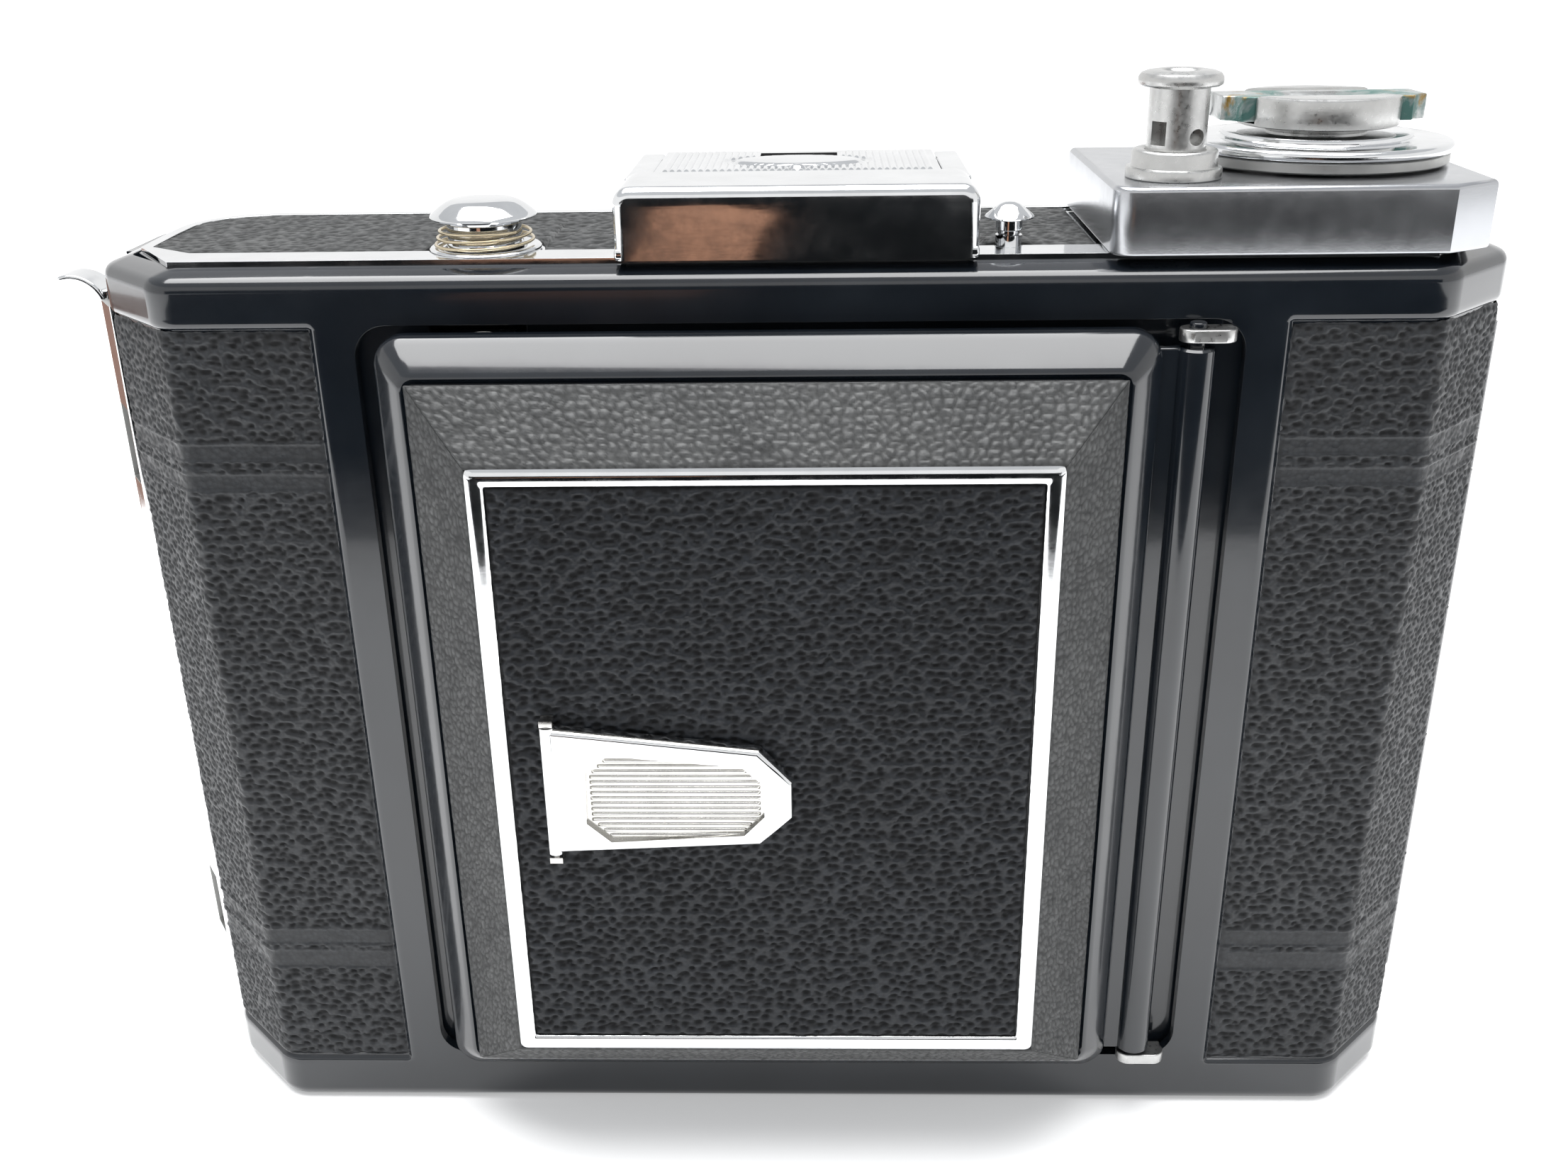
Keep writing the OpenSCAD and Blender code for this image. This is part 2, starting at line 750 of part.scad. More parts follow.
module take_up_spool() {
    color("#26272a") difference() {
        union() {
            disc_z(chamber_x, chamber_y, core_r, spool_z, spool_l);
            for (z = [spool_z, spool_z + spool_l - 0.8])
                disc_z(chamber_x, chamber_y, spool_r, z, 0.8);
        }
        disc_z(chamber_x, chamber_y, 2 + fit, spool_z - 1, spool_l + 2);
        translate([chamber_x - 0.4, chamber_y - 8, mid_z - 24]) cube([0.8, 16, 48]);
    }
}

module release_collar() {
    color("#dadbdc") {
        disc_z(release_x, release_y, 4.2, housing_top, 1, release_stem_r + fit);
        disc_z(release_x, release_y, 3.75, housing_top + 1, 1.5, release_stem_r + fit);
    }
}

module release_button() {
    color("#dadbdc") difference() {
        union() {
            disc_z(release_x, release_y, release_stem_r, 88.5, 17.8);
            disc_z(release_x, release_y, 3.1, 87.5, 1.2);
            disc_z(release_x, release_y, 3.65, 106.2, 1.2);
        }
        disc_z(release_x, release_y, 1.3, 103.5, 10);
        translate([release_x + 1.3, release_y - 3, 101.9]) rotate([-90, 0, 0]) cylinder(r = 0.7, h = 3);
        translate([release_x - 2.4, release_y - 3, 101.2]) cube([1, 3, 2]);
    }
}

module door_button() {
    color("#dadbdc") {
        disc_z(door_button_x, door_button_y, door_stem_r, 88.6, 6);
        translate([door_button_x - 1.5, catch_y - 1, 87.6]) cube([3, door_button_y - catch_y + 3, 1.2]);
        disc_z(door_button_x, catch_y + 0.2, 1.1, 86.95, 0.75);
        translate([door_button_x, door_button_y, 0]) rotate_extrude($fn = fine)
            polygon([[0, 94.4], [2.9, 94.4], [button_r, 95.9], [button_r, 96.2], [4, 96.6], [0, 96.9]]);
    }
}

module button_spring() {
    color("silver") translate([door_button_x, door_button_y, 0])
        for (z = [92.95, 93.5, 94.05])
            translate([0, 0, z]) rotate_extrude() translate([3.85, 0]) circle(r = 0.2, $fn = 16);
}

module button_washer() {
    color("#dadbdc")
        disc_z(door_button_x, door_button_y, washer_r, body_h - 0.25, 0.5, door_stem_r + 0.3);
}

module finder_base() {
    side_h = finder_h - 0.6;
    color("#e4e5e6") difference() {
        union() {
            translate([-finder_w / 2, finder_front, body_h])
                cube([finder_w, finder_back - finder_front, 1]);
            translate([0, lid_front - 0.2, body_h]) rotate([90, 0, 0])
                linear_extrude(lid_front - 0.2 - finder_front) front_profile();
            for (s = [-1, 1])
                translate([s > 0 ? lid_w / 2 + 0.3 : -finder_w / 2, lid_front - 1, body_h])
                    cube([finder_w / 2 - lid_w / 2 - 0.3, finder_back - lid_front + 1, side_h]);
            translate([-finder_w / 2, finder_back - 0.5, body_h]) cube([finder_w, 0.5, 4.2]);
        }
        translate([-finder_w / 2 + 0.8, finder_front + 0.8, body_h - 1])
            cube([finder_w - 1.6, lid_front - finder_front - 1.8, finder_h + 0.2]);
    }
}

// Round-shouldered front of the finder, in X and Z
module front_profile() {
    r = 1.6;
    union() {
        translate([-finder_w / 2, 0]) square([finder_w, finder_h - r]);
        translate([-finder_w / 2 + r, 0]) square([finder_w - 2 * r, finder_h]);
        for (s = [-1, 1]) translate([s * (finder_w / 2 - r), finder_h - r]) circle(r);
    }
}

module finder_lid() {
    ribs = 26;
    pitch = (lid_w - 1.6) / ribs;
    axis_z = finder_top - 1;
    color("#d4d5d6") difference() {
        union() {
            translate([-lid_w / 2, lid_front, finder_top - 1.3]) cube([lid_w, lid_back - lid_front, 1]);
            translate([0, 1.2, finder_top - 0.4]) scale([1.9, 1, 1]) cylinder(r = 3.4, h = 0.5);
            for (i = [0:ribs - 1])
                translate([-lid_w / 2 + 0.8 + (i + 0.25) * pitch, lid_front + 0.6, finder_top - 0.4])
                    cube([pitch / 2, lid_back - lid_front - 1.2, 0.28]);
            translate([0, -3.4, finder_top - 0.4]) cylinder(r = 0.8, h = 0.7);
            translate([-lid_w / 2, lid_back, axis_z]) rotate([0, 90, 0]) cylinder(r = 0.7, h = lid_w);
        }
        translate([-3.8, 4.6, finder_top - 3]) cube([7.6, 3.2, 6]);
    }
}

module eyepiece_glass() {
    color("#5d6b78") translate([-3.8, 4.6, finder_top - 1.2]) cube([7.6, 3.2, 0.5]);
}

module finder_frame() {
    y0 = lid_front + 1.6;
    z0 = body_h + 2.6;
    color("#c9cacb") difference() {
        union() {
            translate([-12, y0, z0 - 0.6]) cube([24, 8.6, 1.2]);
            translate([-13.5, y0, z0]) rotate([0, 90, 0]) cylinder(r = 0.6, h = 27);
        }
        translate([-10.4, y0 + 1.2, z0 - 2]) cube([20.8, 6, 4]);
    }
    color("#8fa6b8") translate([-10.4, y0 + 1.2, z0 - 0.35]) cube([20.8, 6, 0.7]);
}

module finder_button() {
    color("#dadbdc") translate([finder_button_x, finder_button_y, 0]) {
        translate([0, 0, 89.5]) cylinder(r = finder_stem_r, h = 5.5);
        rotate_extrude()
            polygon([[0, 94.8], [2.1, 94.8], [2.2, 95.4], [1.4, 96.1], [0, 96.35]]);
    }
}

body_shell();
end_plates();
chamber_frame();
film_rollers();
spool_pins();
top_plate();
top_leather();
left_leather();
right_leather();
bottom_leather();
tripod_bush();
door_hinge_pin();
hinge_links();
latch_keepers();
bellows();
door_shell();
door_leather();
door_trim();
door_panel();
door_tongue();
foot_plate();
foot_pin();
standard_plate();
shutter_case();
rear_cell();
lens_rear();
lens_front();
shutter_blades();
speed_ring();
focus_ring();
aperture_lever();
cocking_lever();
shutter_trigger();
standard_struts();
door_links();
back_cover();
back_leather();
pressure_plate();
plate_springs();
red_window();
window_slider();
back_hinge_pin();
latch_bar();
wind_housing();
wind_wheel();
wind_cap();
wind_knob();
wind_key();
wind_shaft();
take_up_spool();
release_collar();
release_button();
door_button();
button_spring();
button_washer();
finder_base();
finder_lid();
eyepiece_glass();
finder_frame();
finder_button();
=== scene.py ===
import bmesh
import bpy
import math
import numpy as np
from mathutils import Matrix, Vector


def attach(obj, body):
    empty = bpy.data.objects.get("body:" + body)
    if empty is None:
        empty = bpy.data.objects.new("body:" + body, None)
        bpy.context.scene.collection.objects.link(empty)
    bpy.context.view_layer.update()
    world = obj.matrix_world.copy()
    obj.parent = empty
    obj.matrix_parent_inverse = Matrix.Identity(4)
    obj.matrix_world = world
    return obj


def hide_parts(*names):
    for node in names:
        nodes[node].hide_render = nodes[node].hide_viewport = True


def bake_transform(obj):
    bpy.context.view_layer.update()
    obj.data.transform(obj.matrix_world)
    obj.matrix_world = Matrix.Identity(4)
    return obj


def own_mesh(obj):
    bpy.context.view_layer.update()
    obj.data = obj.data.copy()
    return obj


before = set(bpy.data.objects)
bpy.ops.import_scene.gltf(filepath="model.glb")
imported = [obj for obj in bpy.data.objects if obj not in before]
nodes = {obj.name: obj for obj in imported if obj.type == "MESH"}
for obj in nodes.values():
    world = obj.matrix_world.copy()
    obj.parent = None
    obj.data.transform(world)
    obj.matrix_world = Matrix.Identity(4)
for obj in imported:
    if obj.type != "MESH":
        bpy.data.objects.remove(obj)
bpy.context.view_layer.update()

MM = 0.001

# Sizes of the frame, in mm, as the CAD has them
HALF_W, FRONT, BACK = 65.0, -17.0, 14.0
BODY_H, BAND_H, DECK = 92.4, 5.6, 91.9
SEAM, SKIN, WALL = -3.0, 0.5, 1.2
BAR_X, OPEN_X, OPEN_LOW, OPEN_TOP = 43.5, 39.6, 6.5, 87.1
MID_Z = 46.2
T225 = math.tan(math.radians(22.5))
DOOR_X, DOOR_Z, DOOR_W, DOOR_H = -2.75, 46.9, 69.3, 79.4
DOOR_EDGE, DOOR_RIM, TRIM_Y, MARGIN, BEVEL_W = -19.5, -17.5, -28.4, 9.3, 3.0
SLOPE = 8.9 / MARGIN
HINGE = (35.0, -18.0)
OPEN_W, OPEN_H, OPEN_MID = 2 * OPEN_X, OPEN_TOP - OPEN_LOW, (OPEN_LOW + OPEN_TOP) / 2
# Places of the controls on the deck, x and y
DOOR_BUTTON, FINDER_BUTTON, RELEASE, WINDER = (-28.7, -8.7), (19.1, -10.3), (33.4, -10.3), (48.5, -0.5)


# ---------------------------------------------------------------- noise
def hash01(ix, iy, seed):
    """Repeatable numbers from 0 to 1 for whole-number cells."""
    a = (ix.astype(np.int64) * 374761393 + iy.astype(np.int64) * 668265263 + seed * 974634777)
    a = (a ^ (a >> 13)) & 0xFFFFFFFF
    a = (a * 1274126177) & 0xFFFFFFFF
    a = a ^ (a >> 16)
    a = (a * 2246822519) & 0xFFFFFFFF
    return ((a ^ (a >> 15)) & 0xFFFFFF) / float(0xFFFFFF)


def worley(x, y, seed, jitter=0.85):
    """Distances to the nearest and the second nearest point of a jittered grid."""
    ix, iy = np.floor(x), np.floor(y)
    f1 = np.full(x.shape, 9.0)
    f2 = np.full(x.shape, 9.0)
    for dx in (-1, 0, 1):
        for dy in (-1, 0, 1):
            cx, cy = ix + dx, iy + dy
            px = cx + 0.5 + jitter * (hash01(cx, cy, seed) - 0.5)
            py = cy + 0.5 + jitter * (hash01(cx, cy, seed + 7) - 0.5)
            d = np.hypot(x - px, y - py)
            f2 = np.minimum(f2, np.maximum(f1, d))
            f1 = np.minimum(f1, d)
    return f1, f2


def vnoise(x, y, seed):
    """Smooth noise from 0 to 1, one cell a unit."""
    ix, iy = np.floor(x), np.floor(y)
    fx, fy = x - ix, y - iy
    fx, fy = fx * fx * (3 - 2 * fx), fy * fy * (3 - 2 * fy)
    a, b = hash01(ix, iy, seed), hash01(ix + 1, iy, seed)
    c, d = hash01(ix, iy + 1, seed), hash01(ix + 1, iy + 1, seed)
    return (a * (1 - fx) + b * fx) * (1 - fy) + (c * (1 - fx) + d * fx) * fy


def smooth(t, a, b):
    t = np.clip((t - a) / (b - a), 0, 1)
    return t * t * (3 - 2 * t)


def dents(u, v, lu, lv, seed):
    """Leather grain: pits in rows, lu by lv mm apart, between wavy ridges, from 0 to about 1."""
    warp = 0.22
    wu = u / lu + warp * (vnoise(u / lu * 1.1, v / lv * 0.7, seed + 1) - 0.5) * 2
    wv = v / lv + warp * (vnoise(u / lu * 1.3 + 40, v / lv * 0.5, seed + 2) - 0.5) * 2
    wu = wu + 0.5 * (np.floor(wv) % 2)
    f1, f2 = worley(wu, wv, seed, 0.62)
    size = 0.30 + 0.30 * vnoise(wu * 1.3, wv * 1.3, seed + 5)
    pit = smooth(f1, size * 0.30, size + 0.16)
    crease = smooth(f2 - f1, 0.0, 0.22)
    fine = vnoise(u * 4.3, v * 4.3, seed + 3) * 0.10 + vnoise(u * 1.1, v * 1.6, seed + 4) * 0.16
    return np.clip(pit * (0.72 + 0.28 * crease) - 0.08 + fine, 0, 1.1)


def pebbles(u, v, lu, lv, seed, warp=0.35):
    """Leather grain: raised pebbles lu by lv mm with valleys between them, from 0 to 1."""
    wu = u / lu + warp * (vnoise(u / lu * 0.9, v / lv * 0.9, seed + 1) - 0.5) * 2
    wv = v / lv + warp * (vnoise(u / lu * 0.8 + 40, v / lv * 0.8, seed + 2) - 0.5) * 2
    f1, f2 = worley(wu, wv, seed)
    top = smooth(f2 - f1, 0.02, 0.55)
    fine = vnoise(u * 5.1, v * 5.1, seed + 3) * 0.25 + vnoise(u * 2.3, v * 2.3, seed + 4) * 0.35
    return top * (0.55 + 0.45 * vnoise(u / lu * 0.7, v / lv * 0.7, seed + 5)) + 0.28 * fine


# ---------------------------------------------------------------- mesh helpers
def link_mesh(name, verts, faces, shade=True):
    """A mesh from points in mm, its normals made consistent."""
    me = bpy.data.meshes.new(name)
    me.from_pydata([tuple(float(c) * MM for c in v) for v in verts], [], [tuple(f) for f in faces])
    me.validate(clean_customdata=False)
    bm = bmesh.new()
    bm.from_mesh(me)
    bmesh.ops.recalc_face_normals(bm, faces=bm.faces)
    bm.to_mesh(me)
    bm.free()
    if shade:
        me.shade_smooth()
    o = bpy.data.objects.new(name, me)
    bpy.context.scene.collection.objects.link(o)
    return o


def settle(o):
    """The object's modifiers are worked into its mesh."""
    bpy.context.view_layer.update()
    dg = bpy.context.evaluated_depsgraph_get()
    me = bpy.data.meshes.new_from_object(o.evaluated_get(dg), depsgraph=dg)
    o.modifiers.clear()
    old = o.data
    o.data = me
    bpy.data.meshes.remove(old)
    return o


def smooth_by_angle(o, degrees):
    """Smooth shading, but for edges sharper than that."""
    me = o.data
    me.shade_smooth()
    bm = bmesh.new()
    bm.from_mesh(me)
    limit = math.radians(degrees)
    for e in bm.edges:
        e.smooth = len(e.link_faces) == 2 and e.calc_face_angle(0.0) < limit
    bm.to_mesh(me)
    bm.free()
    return o


def boolean(o, cutter, operation="DIFFERENCE"):
    m = o.modifiers.new("cut", "BOOLEAN")
    m.operation, m.solver, m.object = operation, "EXACT", cutter
    settle(o)
    bpy.data.objects.remove(cutter)
    return o


def hole(o, centre, r, z0, z1, sides=59):
    """A round hole cut through upright."""
    step = 360 / (sides + 1)
    return boolean(o, prism("hole", arc(*centre, r, 0, 360 - step, sides), z0, z1))


def join(name, *parts):
    """Several meshes as one piece."""
    # the pit values, which paint shade into the leather's colour, are carried over
    pits = np.concatenate([pit_shade_of(p) for p in parts])
    bm = bmesh.new()
    for p in parts:
        bm.from_mesh(p.data)
    me = bpy.data.meshes.new(name)
    bm.to_mesh(me)
    bm.free()
    for p in parts:
        bpy.data.objects.remove(p)
    o = bpy.data.objects.new(name, me)
    bpy.context.scene.collection.objects.link(o)
    if pits.any():
        mark_pit_shade(o, pits)
    return o


def bevel_sharp(o, width, segments, angle):
    """A round on the edges sharper than angle."""
    m = o.modifiers.new("round", "BEVEL")
    m.width, m.segments, m.limit_method, m.angle_limit = width * MM, segments, "ANGLE", math.radians(angle)
    settle(o)


def thicken(o, thickness, offset, rim_material=0):
    """A sheet gets a thickness in mm, to one side or to both."""
    m = o.modifiers.new("thick", "SOLIDIFY")
    m.thickness, m.offset, m.material_offset_rim = thickness * MM, offset, rim_material
    settle(o)


def round_edges(o, width, segments=3):
    """Small round on every edge of over 28 degrees, width in mm."""
    m = o.modifiers.new("round", "BEVEL")
    m.width, m.segments, m.limit_method = width * MM, segments, "ANGLE"
    m.angle_limit = math.radians(28)
    m.harden_normals = False
    m.use_clamp_overlap = True
    m.miter_outer = "MITER_ARC"
    settle(o)
    o.data.shade_smooth()
    w = o.modifiers.new("normals", "WEIGHTED_NORMAL")
    w.keep_sharp, w.weight = False, 60
    return settle(o)


def roll_edges(o, width, where, segments):
    """A wider round on the edges of over 40 degrees whose ends both pass the test."""
    bm = bmesh.new()
    bm.from_mesh(o.data)
    edges = [e for e in bm.edges if len(e.link_faces) == 2 and all(where(v.co) for v in e.verts)
             and e.calc_face_angle(0.0) > math.radians(40)]
    bmesh.ops.bevel(bm, geom=edges, offset=width * MM, segments=segments, profile=0.5, affect="EDGES",
                    clamp_overlap=True)
    bm.to_mesh(o.data)
    bm.free()
    return o


def copy_of(node):
    """A clean copy of a CAD node's mesh, with its flat faces whole again."""
    bm = bmesh.new()
    bm.from_mesh(nodes[node].data)
    bmesh.ops.remove_doubles(bm, verts=bm.verts, dist=2e-6)
    bmesh.ops.dissolve_limit(bm, angle_limit=math.radians(1.2), verts=bm.verts, edges=bm.edges,
                             use_dissolve_boundaries=False)
    me = bpy.data.meshes.new(node + "_look")
    bm.to_mesh(me)
    bm.free()
    o = bpy.data.objects.new(node + "_look", me)
    bpy.context.scene.collection.objects.link(o)
    return o


def softened(node, body, mat, width, slot):
    """A CAD node's shape with its edges rounded off, in a better material."""
    piece(round_edges(copy_of(node), width, 2), body, mat, node, slot=slot)


def piece(o, body, mat, *replaced, slot):
    """The object gets its material, rides on a body and stands in for CAD nodes."""
    o.data.materials.clear()
    o.data.materials.append(mat)
    if body:
        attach(o, body)
    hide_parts(*replaced)
    return o


def second_material(o, mat, test):
    """The faces whose centre in mm passes the test get another material."""
    o.data.materials.append(mat)
    for f in o.data.polygons:
        if test(f.center / MM):
            f.material_index = 1


def revolve(name, profile, cx, cy, seg=96, wobble=None, closed=False):
    """A turned shape about a vertical axis. profile is (radius, z), the first and last on the axis
    unless closed, which joins the last to the first."""
    verts, faces, rows = [], [], []
    for r, z in profile:
        if r < 1e-6:
            rows.append([len(verts)])
            verts.append((cx, cy, z))
            continue
        row = []
        for i in range(seg):
            a = 2 * math.pi * i / seg
            rr = r + (wobble(r, z, a) if wobble else 0)
            row.append(len(verts))
            verts.append((cx + rr * math.cos(a), cy + rr * math.sin(a), z))
        rows.append(row)
    pairs = list(zip(rows, rows[1:])) + ([(rows[-1], rows[0])] if closed else [])
    for a, b in pairs:
        for i in range(seg):
            j = (i + 1) % seg
            if len(a) == 1 and len(b) == 1:
                continue
            if len(a) == 1:
                faces.append((a[0], b[i], b[j]))
            elif len(b) == 1:
                faces.append((a[i], b[0], a[j]))
            else:
                faces.append((a[i], b[i], b[j], a[j]))
    return link_mesh(name, verts, faces)


def turned_y(name, profile, cx, cz, seg=96, wobble=None, closed=False):
    """The same about an axis along Y: profile is (radius, y)."""
    o = revolve(name, profile, 0, 0, seg, wobble, closed)
    o.data.transform(Matrix.Translation((cx * MM, 0, cz * MM)) @ Matrix.Rotation(math.radians(-90), 4, "X"))
    return o


def prism(name, pts, z0, z1, axis="z"):
    """An extruded outline. axis z: points are x, y. axis y: points are x, z and z0, z1 are y."""
    n = len(pts)
    if axis == "z":
        verts = [(x, y, z0) for x, y in pts] + [(x, y, z1) for x, y in pts]
    else:
        verts = [(x, z0, y) for x, y in pts] + [(x, z1, y) for x, y in pts]
    faces = [tuple(range(n)), tuple(range(2 * n - 1, n - 1, -1))]
    faces += [(i, (i + 1) % n, n + (i + 1) % n, n + i) for i in range(n)]
    return link_mesh(name, verts, faces, shade=False)


def block(name, x0, x1, y0, y1, z0, z1):
    return prism(name, [(x0, y0), (x1, y0), (x1, y1), (x0, y1)], z0, z1)


def round_rect(x, z, w, h, r, n=6):
    pts = []
    for sx, sz, a0 in ((1, 1, 0), (-1, 1, 90), (-1, -1, 180), (1, -1, 270)):
        for i in range(n + 1):
            a = math.radians(a0 + 90 * i / n)
            pts.append((x + sx * (w / 2 - r) + r * math.cos(a), z + sz * (h / 2 - r) + r * math.sin(a)))
    return pts


def arc(x, y, r, a, b, n=10):
    return [(x + r * math.cos(math.radians(a + (b - a) * i / n)),
             y + r * math.sin(math.radians(a + (b - a) * i / n))) for i in range(n + 1)]


def mark_pit_shade(o, values):
    """How deep in a pit each point lies, from 0 to 1: it paints shade into the leather's colour and dulls its
    shine.
    """
    layer = o.data.attributes.get("pit") or o.data.attributes.new("pit", "FLOAT", "POINT")
    full = np.zeros(len(o.data.vertices))
    full[:len(values)] = values
    layer.data.foreach_set("value", full)
    return o


# the pit values, which paint shade into the leather's colour
def pit_shade_of(o):
    layer = o.data.attributes.get("pit")
    values = np.zeros(len(o.data.vertices))
    if layer:
        layer.data.foreach_get("value", values)
    return values


def relief(name, points, normals, height, depth, grain=None):
    """A sheet with a raised pattern. points and normals are (nu, nv, 3) in mm; height is (nu, nv)
    over the points; the back lies depth under them and is coarse. grain is 0 in the pits."""
    nu, nv = height.shape
    top = points + normals * height[..., None]
    verts = [tuple(p) for p in top.reshape(-1, 3)]
    idx = np.arange(nu * nv).reshape(nu, nv)
    faces = np.stack([idx[:-1, :-1], idx[1:, :-1], idx[1:, 1:], idx[:-1, 1:]], -1).reshape(-1, 4).tolist()
    low = points - normals * depth
    base = len(verts)
    verts += [tuple(low[i, 0]) for i in range(nu)] + [tuple(low[i, -1]) for i in range(nu)]
    a = [base + i for i in range(nu)]
    b = [base + nu + i for i in range(nu)]
    for i in range(nu - 1):
        faces.append((a[i], b[i], b[i + 1], a[i + 1]))
        faces.append((int(idx[i, 0]), a[i], a[i + 1], int(idx[i + 1, 0])))
        faces.append((int(idx[i + 1, -1]), b[i + 1], b[i], int(idx[i, -1])))
    faces.append([int(k) for k in idx[0, :]] + [b[0], a[0]])
    faces.append([int(k) for k in idx[-1, ::-1]] + [a[-1], b[-1]])
    o = link_mesh(name, verts, faces)
    # grain is 0 in the pits; the mesh keeps 1 - grain, which paints shade into the leather's colour there
    if grain is not None:
        mark_pit_shade(o, 1 - np.clip(grain, 0, 1).reshape(-1))
    return o


def along(path, step):
    """Points a step apart along a plan path, with the normal to the right of travel."""
    path = np.array(path, float)
    seg = np.hypot(*(path[1:] - path[:-1]).T)
    s = np.concatenate([[0], np.cumsum(seg)])
    n = max(2, int(round(s[-1] / step)) + 1)
    t = np.linspace(0, s[-1], n)
    x = np.interp(t, s, path[:, 0])
    y = np.interp(t, s, path[:, 1])
    tx, ty = np.gradient(x, t), np.gradient(y, t)
    ln = np.hypot(tx, ty)
    return t, x, y, ty / ln, -tx / ln


def round_path(pts, radii, n=8):
    """A polyline with its inner corners rounded by the given radii."""
    out = [pts[0]]
    for i in range(1, len(pts) - 1):
        p, q, r = (np.array(pts[k], float) for k in (i - 1, i, i + 1))
        a, b = (p - q) / np.linalg.norm(p - q), (r - q) / np.linalg.norm(r - q)
        ang = math.acos(max(-1, min(1, float(a @ b))))
        cut = radii[i - 1] / math.tan(ang / 2)
        c = q + (a + b) / np.linalg.norm(a + b) * radii[i - 1] / math.sin(ang / 2)
        s, e = q + a * cut - c, q + b * cut - c
        for k in range(n + 1):
            f = k / n
            v = s * (1 - f) + e * f
            out.append(tuple(c + v / np.linalg.norm(v) * radii[i - 1]))
    out.append(pts[-1])
    return out


# ---------------------------------------------------------------- materials
class Look:
    """A node material under construction."""

    def __init__(self, name, base, rough, metal=0.0, **sockets):
        self.m = bpy.data.materials.new(name)
        self.m.use_nodes = True
        self.t = self.m.node_tree
        self.b = self.t.nodes["Principled BSDF"]
        self.base, self.rough = base, rough
        self.b.inputs["Base Color"].default_value = (*base, 1)
        self.b.inputs["Roughness"].default_value = rough
        self.b.inputs["Metallic"].default_value = metal
        for k, v in sockets.items():
            self.b.inputs[k.replace("_", " ")].default_value = v
        self.co = self.t.nodes.new("ShaderNodeTexCoord").outputs["Object"]
        self.normal = None

    def mapped(self, scale=(1, 1, 1), turn=(0, 0, 0)):
        n = self.t.nodes.new("ShaderNodeMapping")
        n.inputs["Scale"].default_value = scale
        n.inputs["Rotation"].default_value = [math.radians(a) for a in turn]
        self.t.links.new(self.co, n.inputs["Vector"])
        return n.outputs["Vector"]

    def noise(self, size, detail=3, rough=0.5, warp=0.0, scale=(1, 1, 1), turn=(0, 0, 0)):
        """Noise with features of that size in mm."""
        n = self.t.nodes.new("ShaderNodeTexNoise")
        n.inputs["Scale"].default_value = 1000.0 / size
        n.inputs["Detail"].default_value = detail
        n.inputs["Roughness"].default_value = rough
        n.inputs["Distortion"].default_value = warp
        self.t.links.new(self.mapped(scale, turn), n.inputs["Vector"])
        return n.outputs["Fac"]

    def cells(self, size):
        """The distance from the nearest of random points that far apart in mm."""
        n = self.t.nodes.new("ShaderNodeTexVoronoi")
        n.inputs["Scale"].default_value = 1000.0 / size
        self.t.links.new(self.mapped(), n.inputs["Vector"])
        return n.outputs["Distance"]

    def ramp(self, value, *stops):
        n = self.t.nodes.new("ShaderNodeValToRGB")
        e = n.color_ramp.elements
        while len(e) < len(stops):
            e.new(0.5)
        for k, (pos, col) in enumerate(stops):
            e[k].position = pos
            e[k].color = (col, col, col, 1) if isinstance(col, (int, float)) else (*col, 1)
        self.t.links.new(value, n.inputs["Fac"])
        return n.outputs["Color"]

    def math(self, op, a, b):
        n = self.t.nodes.new("ShaderNodeMath")
        n.operation = op
        for k, v in enumerate((a, b)):
            if isinstance(v, (int, float)):
                n.inputs[k].default_value = v
            else:
                self.t.links.new(v, n.inputs[k])
        return n.outputs["Value"]

    def mix(self, fac, a, b):
        n = self.t.nodes.new("ShaderNodeMix")
        n.data_type = "RGBA"
        for key, v in ((0, fac), (6, a), (7, b)):
            if isinstance(v, (int, float)):
                n.inputs[key].default_value = v
            elif isinstance(v, tuple):
                n.inputs[key].default_value = (*v, 1)
            else:
                self.t.links.new(v, n.inputs[key])
        return n.outputs[2]

    def bump(self, height, depth):
        """A bump of that depth in mm, over the bumps before it."""
        n = self.t.nodes.new("ShaderNodeBump")
        n.inputs["Strength"].default_value = 1.0
        n.inputs["Distance"].default_value = depth * MM
        self.t.links.new(height, n.inputs["Height"])
        if self.normal is not None:
            self.t.links.new(self.normal, n.inputs["Normal"])
        self.normal = n.outputs["Normal"]
        return self

    def specks(self, size, radius, share):
        """A mask of small random dots: cells of that size, dots of that part of a cell."""
        dot = self.ramp(self.cells(size), (radius * 0.6, 1.0), (radius, 0.0))
        pick = self.ramp(self.noise(size * 3, 0), (1 - share - 0.02, 0.0), (1 - share, 1.0))
        return self.math("MULTIPLY", dot, pick)

    def colour(self, value):
        self.t.links.new(value, self.b.inputs["Base Color"])
        return self

    def point_value(self, name):
        n = self.t.nodes.new("ShaderNodeAttribute")
        n.attribute_type, n.attribute_name = "GEOMETRY", name
        return n.outputs["Fac"]

    def roughness(self, value):
        self.t.links.new(value, self.b.inputs["Roughness"])
        return self

    def done(self):
        if self.normal is not None:
            self.t.links.new(self.normal, self.b.inputs["Normal"])
        return self.m


def enamel(name="black_enamel", dust=0.16):
    k = Look(name, (0.007, 0.009, 0.013), 0.14, Specular_IOR_Level=0.5, Coat_Weight=0.6,
             Coat_Roughness=0.06)
    film = k.ramp(k.noise(9, 4, 0.6), (0.35, (0.005, 0.007, 0.010)), (0.75, (0.010, 0.013, 0.017)))
    c = k.mix(k.specks(1.7, 0.055, dust), film, (0.42, 0.41, 0.38))
    c = k.mix(k.specks(5.5, 0.02, 0.3), c, (0.75, 0.74, 0.7))
    k.colour(c)
    k.roughness(k.ramp(k.noise(14, 5, 0.65), (0.3, 0.10), (0.7, 0.20)))
    k.bump(k.noise(2.4, 2), 0.006).bump(k.noise(0.5, 2), 0.0015)
    return k.done()


